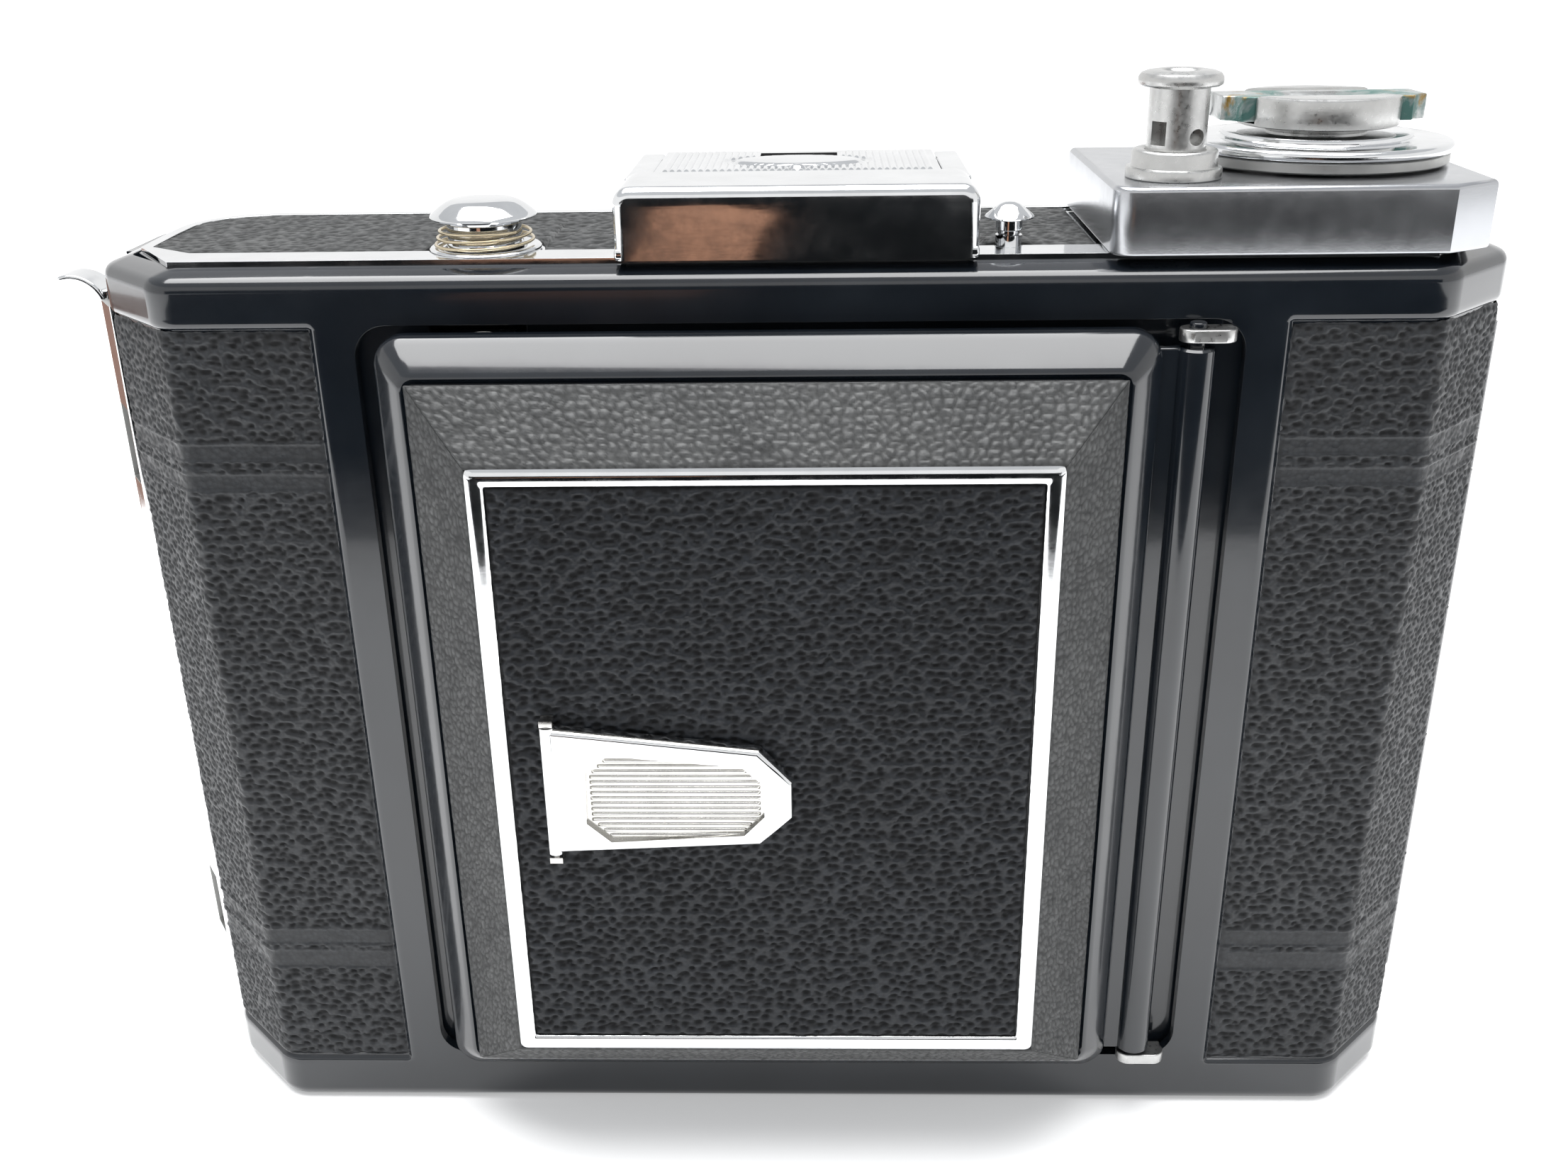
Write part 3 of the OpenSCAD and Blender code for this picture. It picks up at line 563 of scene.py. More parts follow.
def leather(name, base, light, grain=0.035, rough=(0.36, 0.62), spec=0.45):
    """Worn leatherette, duller in the pits that the mesh marks, with painted shade darkening them."""
    k = Look(name, base, 0.5, Specular_IOR_Level=spec)
    worn = k.ramp(k.noise(6, 5, 0.65), (0.30, base), (0.78, light))
    cell = k.cells(0.5)
    c = k.mix(k.ramp(cell, (0.25, 0.0), (0.75, 0.5)), worn, tuple(x * 0.35 for x in base))
    pit = k.point_value("pit")
    # painted shade: the colour darkens towards the bottom of the pits that the mesh marks
    c = k.mix(k.math("MULTIPLY", pit, 0.9), c, tuple(x * 0.12 for x in base))
    c = k.mix(k.specks(2.2, 0.05, 0.14), c, (0.5, 0.49, 0.46))
    k.colour(c)
    shine = k.ramp(k.noise(1.3, 4, 0.7), (0.3, rough[0]), (0.7, rough[1]))
    k.roughness(k.math("ADD", shine, k.math("MULTIPLY", pit, 0.45)))
    k.bump(cell, grain).bump(k.noise(0.16, 3, 0.6), grain * 0.4)
    return k.done()


def chrome(name="polished_chrome", tone=(0.80, 0.81, 0.82), rough=(0.05, 0.16), pits=0.1):
    k = Look(name, tone, 0.1, 1.0)
    haze = k.ramp(k.noise(7, 5, 0.6), (0.35, tone), (0.8, tuple(x * 0.82 for x in tone)))
    c = k.mix(k.specks(0.9, 0.11, pits), haze, tuple(x * 0.25 for x in tone))
    k.colour(c)
    k.roughness(k.ramp(k.noise(4, 6, 0.7), (0.35, rough[0]), (0.72, rough[1])))
    k.bump(k.noise(3.0, 2), 0.004).bump(k.noise(0.35, 2, scale=(0.15, 1, 1), turn=(0, 0, 25)), 0.0008)
    return k.done()


def satin(name="satin_chrome", tone=(0.62, 0.63, 0.64), rough=(0.26, 0.42), pits=0.14):
    k = Look(name, tone, 0.35, 1.0)
    haze = k.ramp(k.noise(12, 5, 0.6), (0.3, tone), (0.8, tuple(x * 0.88 for x in tone)))
    c = k.mix(k.specks(1.1, 0.07, pits), haze, (0.16, 0.15, 0.13))
    k.colour(c)
    k.roughness(k.ramp(k.noise(2, 5, 0.7), (0.3, rough[0]), (0.7, rough[1])))
    k.bump(k.noise(0.18, 3, 0.6), 0.004).bump(k.noise(1.2, 3), 0.006)
    return k.done()


def verdigris_chrome():
    k = Look("worn_chrome", (0.6, 0.6, 0.6), 0.3, 1.0)
    patch = k.ramp(k.noise(6.5, 5, 0.7, 0.6), (0.44, 0.0), (0.58, 1.0))
    rust = k.ramp(k.noise(3.1, 4, 0.6, 0.4, scale=(1, 1.4, 1)), (0.60, 0.0), (0.68, 1.0))
    metal = k.ramp(k.noise(2.2, 5, 0.6), (0.3, (0.34, 0.35, 0.34)), (0.7, (0.52, 0.53, 0.53)))
    c = k.mix(patch, metal, (0.05, 0.13, 0.115))
    c = k.mix(rust, c, (0.25, 0.16, 0.04))
    k.colour(c)
    k.roughness(k.ramp(k.noise(1.6, 4, 0.7), (0.3, 0.2), (0.7, 0.5)))
    n = k.math("MULTIPLY", k.ramp(patch, (0.0, 0.95), (1.0, 0.25)), 1.0)
    k.t.links.new(n, k.b.inputs["Metallic"])
    k.bump(k.noise(0.5, 4, 0.65), 0.02)
    return k.done()


def plain_metal(name, tone, rough, size=0.4, stretch=(1, 1, 1)):
    k = Look(name, tone, rough, 1.0)
    k.colour(k.ramp(k.noise(3.5, 5, 0.6), (0.3, tone), (0.75, tuple(x * 0.78 for x in tone))))
    k.roughness(k.ramp(k.noise(size * 4, 4, 0.6), (0.3, rough * 0.8), (0.7, rough * 1.3)))
    k.bump(k.noise(size, 3, scale=stretch), 0.003)
    return k.done()


def matt(name, tone, rough=0.6, grain=0.3, depth=0.01):
    k = Look(name, tone, rough)
    light = tuple(min(1, x * 1.7 + 0.004) for x in tone)
    k.colour(k.ramp(k.noise(2.5, 5, 0.6), (0.3, tone), (0.75, light)))
    k.roughness(k.ramp(k.noise(1.5, 3), (0.3, rough * 0.85), (0.7, min(1, rough * 1.15))))
    k.bump(k.noise(grain, 3), depth)
    return k.done()


def cloth():
    k = Look("bellows_cloth", (0.012, 0.012, 0.013), 0.7, Sheen_Weight=0.15)
    k.colour(k.ramp(k.noise(4, 4, 0.6), (0.3, (0.010, 0.010, 0.011)), (0.75, (0.026, 0.026, 0.027))))
    k.roughness(k.ramp(k.noise(1, 3), (0.3, 0.55), (0.7, 0.8)))
    k.bump(k.cells(0.35), 0.05)
    return k.done()


def glass(name="coated_glass", tint=(0.90, 0.94, 1.0)):
    k = Look(name, tint, 0.02, IOR=1.52, Transmission_Weight=1.0)
    k.roughness(k.ramp(k.noise(5, 4), (0.4, 0.0), (0.8, 0.05)))
    k.bump(k.noise(8, 1), 0.0008)
    return k.done()


def red_plastic():
    k = Look("red_window_plastic", (0.45, 0.012, 0.01), 0.12, Transmission_Weight=0.55, IOR=1.5)
    k.colour(k.ramp(k.noise(2.5, 4), (0.3, (0.45, 0.010, 0.008)), (0.75, (0.30, 0.006, 0.005))))
    k.roughness(k.ramp(k.noise(1.2, 4), (0.35, 0.08), (0.7, 0.25)))
    k.bump(k.noise(1.5, 2), 0.003)
    return k.done()


def pale_floor():
    k = Look("floor", (0.93, 0.93, 0.93), 0.85, Specular_IOR_Level=0.2, Emission_Strength=0.3)
    k.b.inputs["Emission Color"].default_value = (1, 1, 1, 1)
    k.colour(k.ramp(k.noise(300, 3), (0.3, (0.94, 0.94, 0.94)), (0.8, (0.92, 0.92, 0.92))))
    return k.done()


ENAMEL = enamel()
ENAMEL_DOOR = enamel("door_enamel", 0.1)
LEATHER = leather("side_leatherette", (0.013, 0.015, 0.018), (0.027, 0.030, 0.034),
                  rough=(0.32, 0.52), spec=0.4)
LEATHER_SLOPE = leather("slope_leatherette", (0.045, 0.047, 0.048), (0.085, 0.087, 0.086), 0.03)
LEATHER_TOP = leather("top_leatherette", (0.030, 0.032, 0.033), (0.065, 0.067, 0.066), 0.03)
LEATHER_PANEL = leather("panel_leatherette", (0.007, 0.009, 0.012), (0.016, 0.019, 0.024),
                        rough=(0.34, 0.5), spec=0.3)
CHROME = chrome()
CHROME_CLEAN = chrome("clean_chrome", (0.84, 0.85, 0.86), (0.04, 0.1), 0.03)
SATIN = satin()
HOUSING = satin("housing_chrome", (0.50, 0.51, 0.53), (0.22, 0.27), pits=0.10)
STEEL = plain_metal("turned_steel", (0.58, 0.57, 0.55), 0.22, 0.15, (1, 1, 12))
DULL = satin("dull_ring", (0.42, 0.42, 0.41), (0.35, 0.55), pits=0.3)
BRUSHED = plain_metal("brushed_knob", (0.60, 0.60, 0.59), 0.30, 0.12, (0.1, 0.1, 1))
RIBBED = plain_metal("ribbed_field", (0.70, 0.69, 0.66), 0.22, 0.2)
SPRING = plain_metal("spring_wire", (0.72, 0.62, 0.44), 0.2, 0.2)
WORN = verdigris_chrome()
BLACK = matt("matt_black", (0.012, 0.012, 0.013), 0.62)
CLOTH = cloth()
GLASS = glass()
GLASS_EYE = glass("finder_glass", (0.75, 0.80, 0.86))
RED = red_plastic()
SPOOL = matt("spool_paint", (0.018, 0.018, 0.02), 0.4, 0.5, 0.006)

# ---------------------------------------------------------------- front shell
RIM = [  # inset from the plan, height: from the deck's edge over the rounded rim to the band
    (2.75, 91.9), (2.3, 91.82), (1.6, 91.62), (0.9, 91.38), (0.55, 91.22), (0.3, 91.0),
    (0.12, 90.72), (0.03, 90.4), (0.0, 90.0)]
BASE_RIM = [(0.0, 1.6), (0.03, 1.3), (0.12, 0.95), (0.32, 0.6), (0.6, 0.32), (0.95, 0.12), (1.6, 0.0),
            (3.5, 0.0)]


def shell_front():
    """The front shell: a rounded skin swept along its plan, with the door opening cut out."""
    plan = round_path([(-HALF_W, SEAM), (-HALF_W, -9.0), (-57.0, FRONT), (57.0, FRONT), (HALF_W, -9.0),
                       (HALF_W, SEAM)], [4.2, 4.0, 4.0, 4.2], 12)
    near_bar = [BAR_X + d for d in (-0.9, -0.5, -0.25, 0, 0.15)]
    steps = sorted(x * s for s in (-1, 1) for x in near_bar + [OPEN_X, 54.0, 20.0])
    out = []
    for a, b in zip(plan, plan[1:]):
        out.append(a)
        if abs(a[1] - FRONT) < 1e-6 and abs(b[1] - FRONT) < 1e-6:
            out += [(x, FRONT) for x in steps if a[0] + 0.05 < x < b[0] - 0.05]
    out.append(plan[-1])
    s, x, y, nx, ny = along_exact(out)
    lo, hi = BAND_H, BODY_H - BAND_H
    low = [(0.0, 4.6), (0.0, 5.0), (0.06, 5.3), (0.2, 5.5), (0.42, 5.62)]
    zs = [(d, z, 0) for d, z in RIM] + [(0, 88.6, 0)]
    zs += [(d, BODY_H - z, 1) for d, z in low] + [(SKIN, hi - 0.12, 1), (SKIN, 70.0, 1), (SKIN, MID_Z, 1),
                                                 (SKIN, 22.0, 1), (SKIN, lo + 0.12, 1)]
    zs += [(d, z, 1) for d, z in reversed(low)] + [(0, 3.4, 0)] + [(d, z, 0) for d, z in BASE_RIM]
    P = np.zeros((len(s), len(zs), 3))
    for j, (d, z, side) in enumerate(zs):
        for i in range(len(s)):
            dd = d
            if side:
                away = abs(x[i]) if y[i] < FRONT + 0.3 else 99
                w = smooth(np.array(away), BAR_X - 0.5, BAR_X + 0.12)
                edge = y[i] > SEAM - 0.9 and x[i] < 0
                dd = d * float(w) * (0.0 if edge else 1.0)
            P[i, j] = (x[i] - nx[i] * dd, y[i] - ny[i] * dd, z)
    verts = P.reshape(-1, 3)
    idx = np.arange(len(verts)).reshape(len(s), len(zs))
    faces = np.stack([idx[:-1, :-1], idx[1:, :-1], idx[1:, 1:], idx[:-1, 1:]], -1).reshape(-1, 4).tolist()
    skin = link_mesh("front_skin", verts, faces)
    thicken(skin, 1.1, -1)
    # its width tells which way the sheet thickened
    width = max(v.co.x for v in skin.data.vertices)
    if width > (HALF_W + 0.3) * MM:
        raise RuntimeError("the shell thickened outwards")
    opening = round_rect(0, OPEN_MID, OPEN_W, OPEN_H, 3, 8)
    boolean(skin, prism("door_opening", opening, FRONT - 2, FRONT + 5, "y"))
    roll_edges(skin, 0.85, lambda v: abs(v.y - FRONT * MM) < 2e-6, 5)
    smooth_by_angle(skin, 40)
    bevel_sharp(skin, 0.45, 4, 60)
    skin.data.shade_smooth()
    w = skin.modifiers.new("normals", "WEIGHTED_NORMAL")
    w.weight = 50
    return settle(skin)


def along_exact(path):
    """A plan path's own points, with the outward normal at each."""
    p = np.array(path, float)
    d = p[1:] - p[:-1]
    d /= np.hypot(*d.T)[:, None]
    t = np.vstack([d[:1], (d[:-1] + d[1:]) / 2, d[-1:]])
    t /= np.hypot(*t.T)[:, None]
    s = np.concatenate([[0], np.cumsum(np.hypot(*(p[1:] - p[:-1]).T))])
    return s, p[:, 0], p[:, 1], t[:, 1], -t[:, 0]


def deck_plan(d, front_in):
    """Outline of the deck and the base, set in by d and more at the front."""
    return ([(-62.3 + d, 0), (-62 + d, -6.8), (-56.5 + d / 2, FRONT + 2.7 + front_in),
             (56.5 - d / 2, FRONT + 2.7 + front_in), (62 - d, -6.8), (62.3 - d, 0)]
            + arc(54.5, 4, 7.8 - d, 0, 90) + arc(-54.5, 4, 7.8 - d, 90, 180))


def make_shell():
    skin = shell_front()
    deck = prism("deck", deck_plan(0.0, 0.0), 90.6, 91.88)
    for centre, r in ((DOOR_BUTTON, 3.56), (RELEASE, 2.66), (FINDER_BUTTON, 1.26), (WINDER, 3.26)):
        hole(deck, centre, r, 89, 93)
    floor_plate = prism("base", deck_plan(0.0, 0.0), 0.02, 1.6)
    hole(floor_plate, (0, 0), 6, -1, 3)
    boolean(floor_plate, prism("tray", deck_plan(3.5, 3.6), -1, 0.55))
    lip_y = FRONT + WALL + SKIN
    lip = prism("lip", round_rect(0, OPEN_MID, OPEN_W + 1, OPEN_H + 1, 3, 8), lip_y, lip_y + 0.8, "y")
    boolean(lip, block("lip_hole", -36.8, 35.4, -20, -10, 8.4, 84.2))
    boolean(lip, block("lip_gap", -33.1, -24.3, -20, -10, 80, 100))
    for o in (deck, floor_plate, lip):
        round_edges(o, 0.12, 2)
    piece(join("shell_front", skin, lip), "body", ENAMEL, "body_shell", slot="enamel")
    piece(join("end_plates_look", deck, floor_plate), "body", ENAMEL, "end_plates", slot="enamel")


# ---------------------------------------------------------------- leather
# smooth embossed bands of the front and the back, top and bottom edge of each
BANDS = ((76.2, 74.4), (73.3, 71.5), (22.5, 20.5), (19.8, 17.5))


def band_mask(z):
    """Two masks: 1 on the smooth embossed bands, and 1 on the fine raised line along their edges."""
    soft = 0.16
    flat, line = np.zeros_like(z), np.zeros_like(z)
    for hi, lo in BANDS:
        inside = smooth(z, lo - soft, lo + soft) * (1 - smooth(z, hi - soft, hi + soft))
        flat = np.maximum(flat, inside)
        for e in (hi, lo):
            line = np.maximum(line, np.exp(-((z - e) / 0.12) ** 2))
    return flat, line


def ragged(u, amount, seed):
    """A small wandering of a cut edge."""
    slow, fast = vnoise(u / 1.3, u * 0, seed), vnoise(u / 0.35, u * 0, seed + 1)
    return (slow - 0.5) * amount + (fast - 0.5) * amount * 0.5


def wall_grid(path, step):
    """A grid between the bands along a plan path: length along it, height, points, normals, and a
    factor that falls to 0 at the grid's edge."""
    t, x, y, nx, ny = along(path, step)
    z0, z1 = BAND_H + 0.25, BODY_H - BAND_H - 0.22
    U, Z = np.meshgrid(t, np.linspace(z0, z1, int((z1 - z0) / step)), indexing="ij")
    P, N = np.zeros(U.shape + (3,)), np.zeros(U.shape + (3,))
    P[..., 0], P[..., 1], P[..., 2] = x[:, None], y[:, None], Z
    N[..., 0], N[..., 1] = nx[:, None], ny[:, None]
    edge = np.minimum(np.minimum(U, t[-1] - U), np.minimum(Z - z0, z1 - Z))
    return U, Z, P, N, smooth(edge, -0.05, 0.45)


def levelled(h):
    """Heights of a grain as 0 in the pits and 1 on the ridges."""
    low, high = np.percentile(h, 6), np.percentile(h, 70)
    return np.clip((h - low) / (high - low), 0, 1)


def side_leather(s):
    """The sheet right (s = 1) or left (s = -1) of the door, round the bevel to the side."""
    name = "right_leather" if s > 0 else "left_leather"
    end_y = SEAM - 1.35
    path = round_path([(BAR_X + 0.1, FRONT + SKIN), (57.0 - T225 * SKIN, FRONT + SKIN),
                       (HALF_W - SKIN, -9.0 + T225 * SKIN), (HALF_W - SKIN, end_y)], [1.6, 1.6], 6)
    U, Z, P, N, fall = wall_grid(path, 0.16)
    t, z = U[:, 0], Z[0]
    seed = 11 if s > 0 else 23
    on_bevel = smooth(U, 12.6, 14.6)
    g = dents(U, Z, 1.26, 0.80, seed)
    fine = dents(U, Z, 0.82, 0.66, seed + 50)
    g = g * (1 - on_bevel) + (0.6 * fine + 0.25) * on_bevel
    flat, line = band_mask(Z + (vnoise(U / 9, Z * 0, seed + 9) - 0.5) * 0.25)
    flat *= 1 - 0.35 * on_bevel
    fine_grain = 0.12 + 0.02 * vnoise(U / 0.5, Z / 0.5, seed + 8)
    h = 0.04 + 0.28 * g * (1 - flat) + flat * fine_grain + 0.15 * line
    # tone is high on the ridges and bands; the pits below it get painted shade in the leather's colour
    tone = np.maximum(g * 1.25, 0.85 * flat + line)
    P[0, :, 0] += ragged(z, 0.22, seed + 20) - 0.05
    P[:, 0, 2] += ragged(t, 0.25, seed + 22)
    P[:, -1, 2] += ragged(t, 0.25, seed + 24)
    if s < 0:
        P[..., 0] *= -1
        N[..., 0] *= -1
    piece(relief(name, P, N, h * fall, -0.02, grain=tone), "body", LEATHER, name, slot="leatherette")


def deck_edges(x, side, front, arc_r):
    """Front and back edge of a sheet inside the deck's outline, at each x. side is its half width."""
    ax = np.abs(x)
    low = np.interp(ax, [side - 5.05, side - 0.3, side], [front, -6.8, 0.0])
    high = 4 + np.sqrt(np.clip(arc_r ** 2 - np.clip(ax - 54.5, 0, None) ** 2, 0, None))
    return low, high


def fitted_sheet(name, x, low, high, base, sign, depth, heights, step, soft_ends):
    """A grained sheet between two edges given at each x; its rows run from one to the other."""
    f = np.linspace(0, 1, int(np.max(high - low) / step) + 1)
    U, F = np.meshgrid(x, f, indexing="ij")
    V = low[:, None] + F * (high - low)[:, None]
    g = heights(U, V)
    edge = np.minimum(V - low[:, None], high[:, None] - V)
    if soft_ends[0]:
        edge = np.minimum(edge, U - x[0])
    if soft_ends[1]:
        edge = np.minimum(edge, x[-1] - U)
    P, N = np.zeros(U.shape + (3,)), np.zeros(U.shape + (3,))
    P[..., 0], P[..., 1], P[..., 2] = U, V, base
    N[..., 2] = sign
    # the levelled grain paints shade into the pits of the leather's colour
    return relief(name, P, N, g * smooth(edge, -0.05, 0.4), depth, grain=levelled(g))


def make_top_leather():
    step = 0.28

    def heights(U, V):
        return 0.02 + 0.16 * dents(U, V, 1.2, 1.0, 71)
    left = np.concatenate([[-60.8, -60.78, -60.72, -60.62, -60.5], np.arange(-60.3, -16.3, step), [-16.2]])
    right = np.concatenate([np.arange(16.2, 26.9, step), [27.0]])
    parts = []
    for x, (cx, cy), r in ((left, DOOR_BUTTON, 5.4), (right, FINDER_BUTTON, 2.4)):
        low, high = deck_edges(x, 60.8, -10.15, 6.3)
        # round the button the front edge runs behind it
        behind = cy + np.sqrt(np.clip(r * r - (x - cx) ** 2, 0, None)) - 9 * (np.abs(x - cx) > r)
        low = np.maximum(low, behind)
        parts.append(fitted_sheet("top_sheet", x, low, high, DECK + 0.36, 1, 0.09, heights, step, (1, 1)))
    piece(join("top_leather", *parts), "body", LEATHER_TOP, "top_leather", slot="leatherette")


def make_bottom_leather():
    step = 0.42

    def heights(U, V):
        return 0.04 + 0.2 * dents(U, V, 1.5, 0.9, 83)
    parts = []
    for x0, x1, ends in ((-58.65, -6.2, (1, 0)), (6.2, 58.65, (0, 1))):
        x = np.concatenate([[x0], np.arange(x0 + 0.15, x1 - 0.1, step), [x1]])
        low, high = deck_edges(x, 58.65, -10.55, 4.15)
        parts.append(fitted_sheet("base_sheet", x, low, high, 0.42, -1, 0.1, heights, step, ends))
    x = np.linspace(-6.2, 6.2, int(12.4 / step) + 1)
    low, high = deck_edges(x, 58.65, -10.55, 4.15)
    round_hole = np.sqrt(np.clip(6.2 ** 2 - x ** 2, 0, None))
    parts.append(fitted_sheet("base_sheet", x, low, -round_hole, 0.42, -1, 0.1, heights, step, (0, 0)))
    parts.append(fitted_sheet("base_sheet", x, round_hole, high, 0.42, -1, 0.1, heights, step, (0, 0)))
    piece(join("bottom_leather", *parts), "body", LEATHER, "bottom_leather", slot="leatherette")


def make_back_leather():
    """The sheet round the back, from seam to seam."""
    d = 0.5
    path = ([(HALF_W - d, SEAM + 1.7)] + arc(HALF_W - 9, BACK - 9, 9 - d, 0, 90, 14)
            + arc(-HALF_W + 9, BACK - 9, 9 - d, 90, 180, 14) + [(-HALF_W + d, SEAM + 1.7)])
    U, Z, P, N, fall = wall_grid(path, 0.3)
    g = dents(U, Z, 1.55, 0.82, 131)
    flat, line = band_mask(Z)
    # a smooth embossed frame round the window
    inside = (np.abs(P[..., 0] + 12.0) < 18.5) & (np.abs(Z - 36.2) < 6.2)
    h = 0.10 + 0.19 * g * (1 - flat) + 0.05 * flat + 0.07 * line
    h = np.where(inside, 0.03, h)
    # tone is high on the ridges, bands and window frame; the pits get painted shade in the leather's colour
    tone = np.maximum(g * 1.25, np.maximum(flat, inside))
    o = relief("back_leather", P, N, h * fall, -0.02, grain=tone)
    boolean(o, block("slider_gap", -29, 2.2, 12, 16, 31.6, 40.8))
    smooth_by_angle(o, 50)
    piece(o, "back", LEATHER, "back_leather", slot="leatherette")


# ---------------------------------------------------------------- door
def door_rect(inset, y, r, n):
    """The door's outline at y, set in, with corners of radius r."""
    return [(x, y, z) for x, z in round_rect(DOOR_X, DOOR_Z, DOOR_W - 2 * inset, DOOR_H - 2 * inset, r, n)]


def loft(name, rings, closed=False):
    """A skin over rings of points; closed joins the last to the first."""
    verts, faces = [], []
    n = len(rings[0])
    for r in rings:
        verts += r
    pairs = [(k, k + 1) for k in range(len(rings) - 1)] + ([(len(rings) - 1, 0)] if closed else [])
    for a, b in pairs:
        for i in range(n):
            j = (i + 1) % n
            faces.append((a * n + i, a * n + j, b * n + j, b * n + i))
    return link_mesh(name, verts, faces)


def make_door():
    """The bed door: enamel edge and slopes, a middle sheet, and the barrel of its hinge."""
    b, top_y = BEVEL_W, TRIM_Y + 0.5
    low = DOOR_EDGE - b * SLOPE
    outside = [  # inset, y, corner radius: from the rim over the enamel bevel and the slope to the trim
        (1.0, DOOR_RIM, 1.6), (0.12, DOOR_RIM, 2.4), (0, DOOR_RIM - 0.12, 2.6), (0, DOOR_EDGE + 0.6, 2.6),
        (0.05, DOOR_EDGE + 0.25, 2.6), (0.2, DOOR_EDGE - 0.02, 2.6),
        (0.5, DOOR_EDGE - 0.5 * SLOPE + 0.04, 2.4),
        (b - 0.5, DOOR_EDGE - (b - 0.5) * SLOPE + 0.02, 1.5),
        (b - 0.2, DOOR_EDGE - (b - 0.2) * SLOPE + 0.08, 1.4),
        (b, low + 0.22, 1.2), (b + 0.2, low + 0.42, 1.0), (b + 0.5, low + 0.5, 0.6),
        (MARGIN, top_y, 0.4), (MARGIN + 0.8, top_y, 0.3)]
    inside = [(MARGIN + 0.8, top_y + 0.8, 0.3), (MARGIN + 0.4, top_y + 0.9, 0.3), (b + 0.9, low + 1.5, 0.4),
              (1.0, DOOR_EDGE + 0.2, 1.6)]
    shell = loft("door_skin", [door_rect(*row, 8) for row in outside + inside], closed=True)
    # the middle, behind the leather panel, is a separate sheet
    mid = prism("door_middle", round_rect(DOOR_X, DOOR_Z, DOOR_W - 2 * MARGIN, DOOR_H - 2 * MARGIN, 0.3, 4),
                top_y, top_y + 0.8, "y")
    barrel = revolve("barrel", [(0.81, 8.7), (1.5, 8.7), (1.7, 8.9), (1.7, 46.7), (1.7, 84.7), (1.5, 84.9),
                                (0.81, 84.9)], *HINGE, 64, closed=True)
    leaf = block("leaf", 30.9, 34.2, DOOR_RIM - 1, DOOR_RIM - 0.1, 8.7, 84.9)
    round_edges(leaf, 0.2, 2)
    round_edges(mid, 0.1, 2)
    smooth_by_angle(shell, 30)
    smooth_by_angle(barrel, 40)
    o = join("door_shell_look", shell, mid, barrel, leaf)
    piece(o, "door", ENAMEL_DOOR, "door_shell", slot="enamel")


def make_door_leather():
    """Four grained slopes round the door, mitred at the corners."""
    s = SLOPE
    a0, a1 = BEVEL_W + 0.42, MARGIN - 0.12
    step = 0.19
    parts = []
    slant = math.hypot(1, s)
    sides = (("top", DOOR_W / 2, DOOR_H / 2), ("bottom", DOOR_W / 2, DOOR_H / 2),
             ("left", DOOR_H / 2, DOOR_W / 2), ("right", DOOR_H / 2, DOOR_W / 2))
    for k, (side, half_long, half_cross) in enumerate(sides):
        nv = int((a1 - a0) * slant / step) + 1
        nu = int(2 * half_long / step) + 1
        a = np.linspace(a0, a1, nv)
        f = np.linspace(-1, 1, nu)
        F, A = np.meshgrid(f, a, indexing="ij")
        L = F * (half_long - A - 0.02)
        V = A * slant
        y = DOOR_EDGE - A * s + 0.13
        cross = half_cross - A
        nrm = np.zeros((nu, nv, 3))
        P = np.zeros((nu, nv, 3))
        if side in ("top", "bottom"):
            sg = 1 if side == "top" else -1
            P[..., 0], P[..., 1], P[..., 2] = DOOR_X + L, y, DOOR_Z + sg * cross
            nrm[..., 1], nrm[..., 2] = -1 / slant, sg * s / slant
            g = pebbles(L, V, 0.95, 0.80, 201 + k, 0.2)
            amp = 0.2
        else:
            sg = 1 if side == "right" else -1
            P[..., 0], P[..., 1], P[..., 2] = DOOR_X + sg * cross, y, DOOR_Z + L
            nrm[..., 1], nrm[..., 0] = -1 / slant, sg * s / slant
            g = pebbles(L, V, 0.78, 0.62, 201 + k, 0.35)
            amp = 0.13
        e = np.minimum(V - a0 * slant, a1 * slant - V)
        rag = ragged(L, 0.5, 300 + k) * smooth(1.2 - (V - a0 * slant), 0, 1.2)
        P[..., 1] -= rag * 0.25
        h = (0.05 + amp * g) * smooth(e, -0.08, 0.35)
        corner = (half_long - A) - np.abs(L)
        h = h * smooth(corner, -0.25, 0.25)
        # 0.35 + 0.9 * g paints shade into the valleys between the pebbles
        parts.append(relief("slope_" + side, P, nrm, h, 0.16, grain=0.35 + 0.9 * g))
    o = join("door_slopes", *parts)
    piece(o, "door", LEATHER_SLOPE, "door_leather", slot="slope_leatherette")


def make_panel():
    """The grained sheet inside the trim frame."""
    w, h = (size - 2 * MARGIN + 0.4 - 3.5 - 0.1 for size in (DOOR_W, DOOR_H))
    step = 0.17
    u, v = (np.linspace(c - d / 2, c + d / 2, int(((c + d / 2) - (c - d / 2)) / step) + 1)
            for c, d in ((DOOR_X, w), (DOOR_Z, h)))
    U, V = np.meshgrid(u, v, indexing="ij")
    edge = np.minimum(w / 2 - np.abs(U - DOOR_X), h / 2 - np.abs(V - DOOR_Z))
    g = (0.02 + 0.28 * dents(U, V, 1.22, 0.74, 37)) * smooth(edge, -0.1, 0.4)
    P, N = np.zeros(U.shape + (3,)), np.zeros(U.shape + (3,))
    P[..., 0], P[..., 1], P[..., 2] = U, TRIM_Y + 0.35, V
    N[..., 1] = -1
    # the levelled grain paints shade into the pits of the leather's colour
    o = relief("door_panel_leather", P, N, g, 0.12, grain=levelled(g))
    piece(o, "door", LEATHER_PANEL, "door_panel", slot="leatherette")


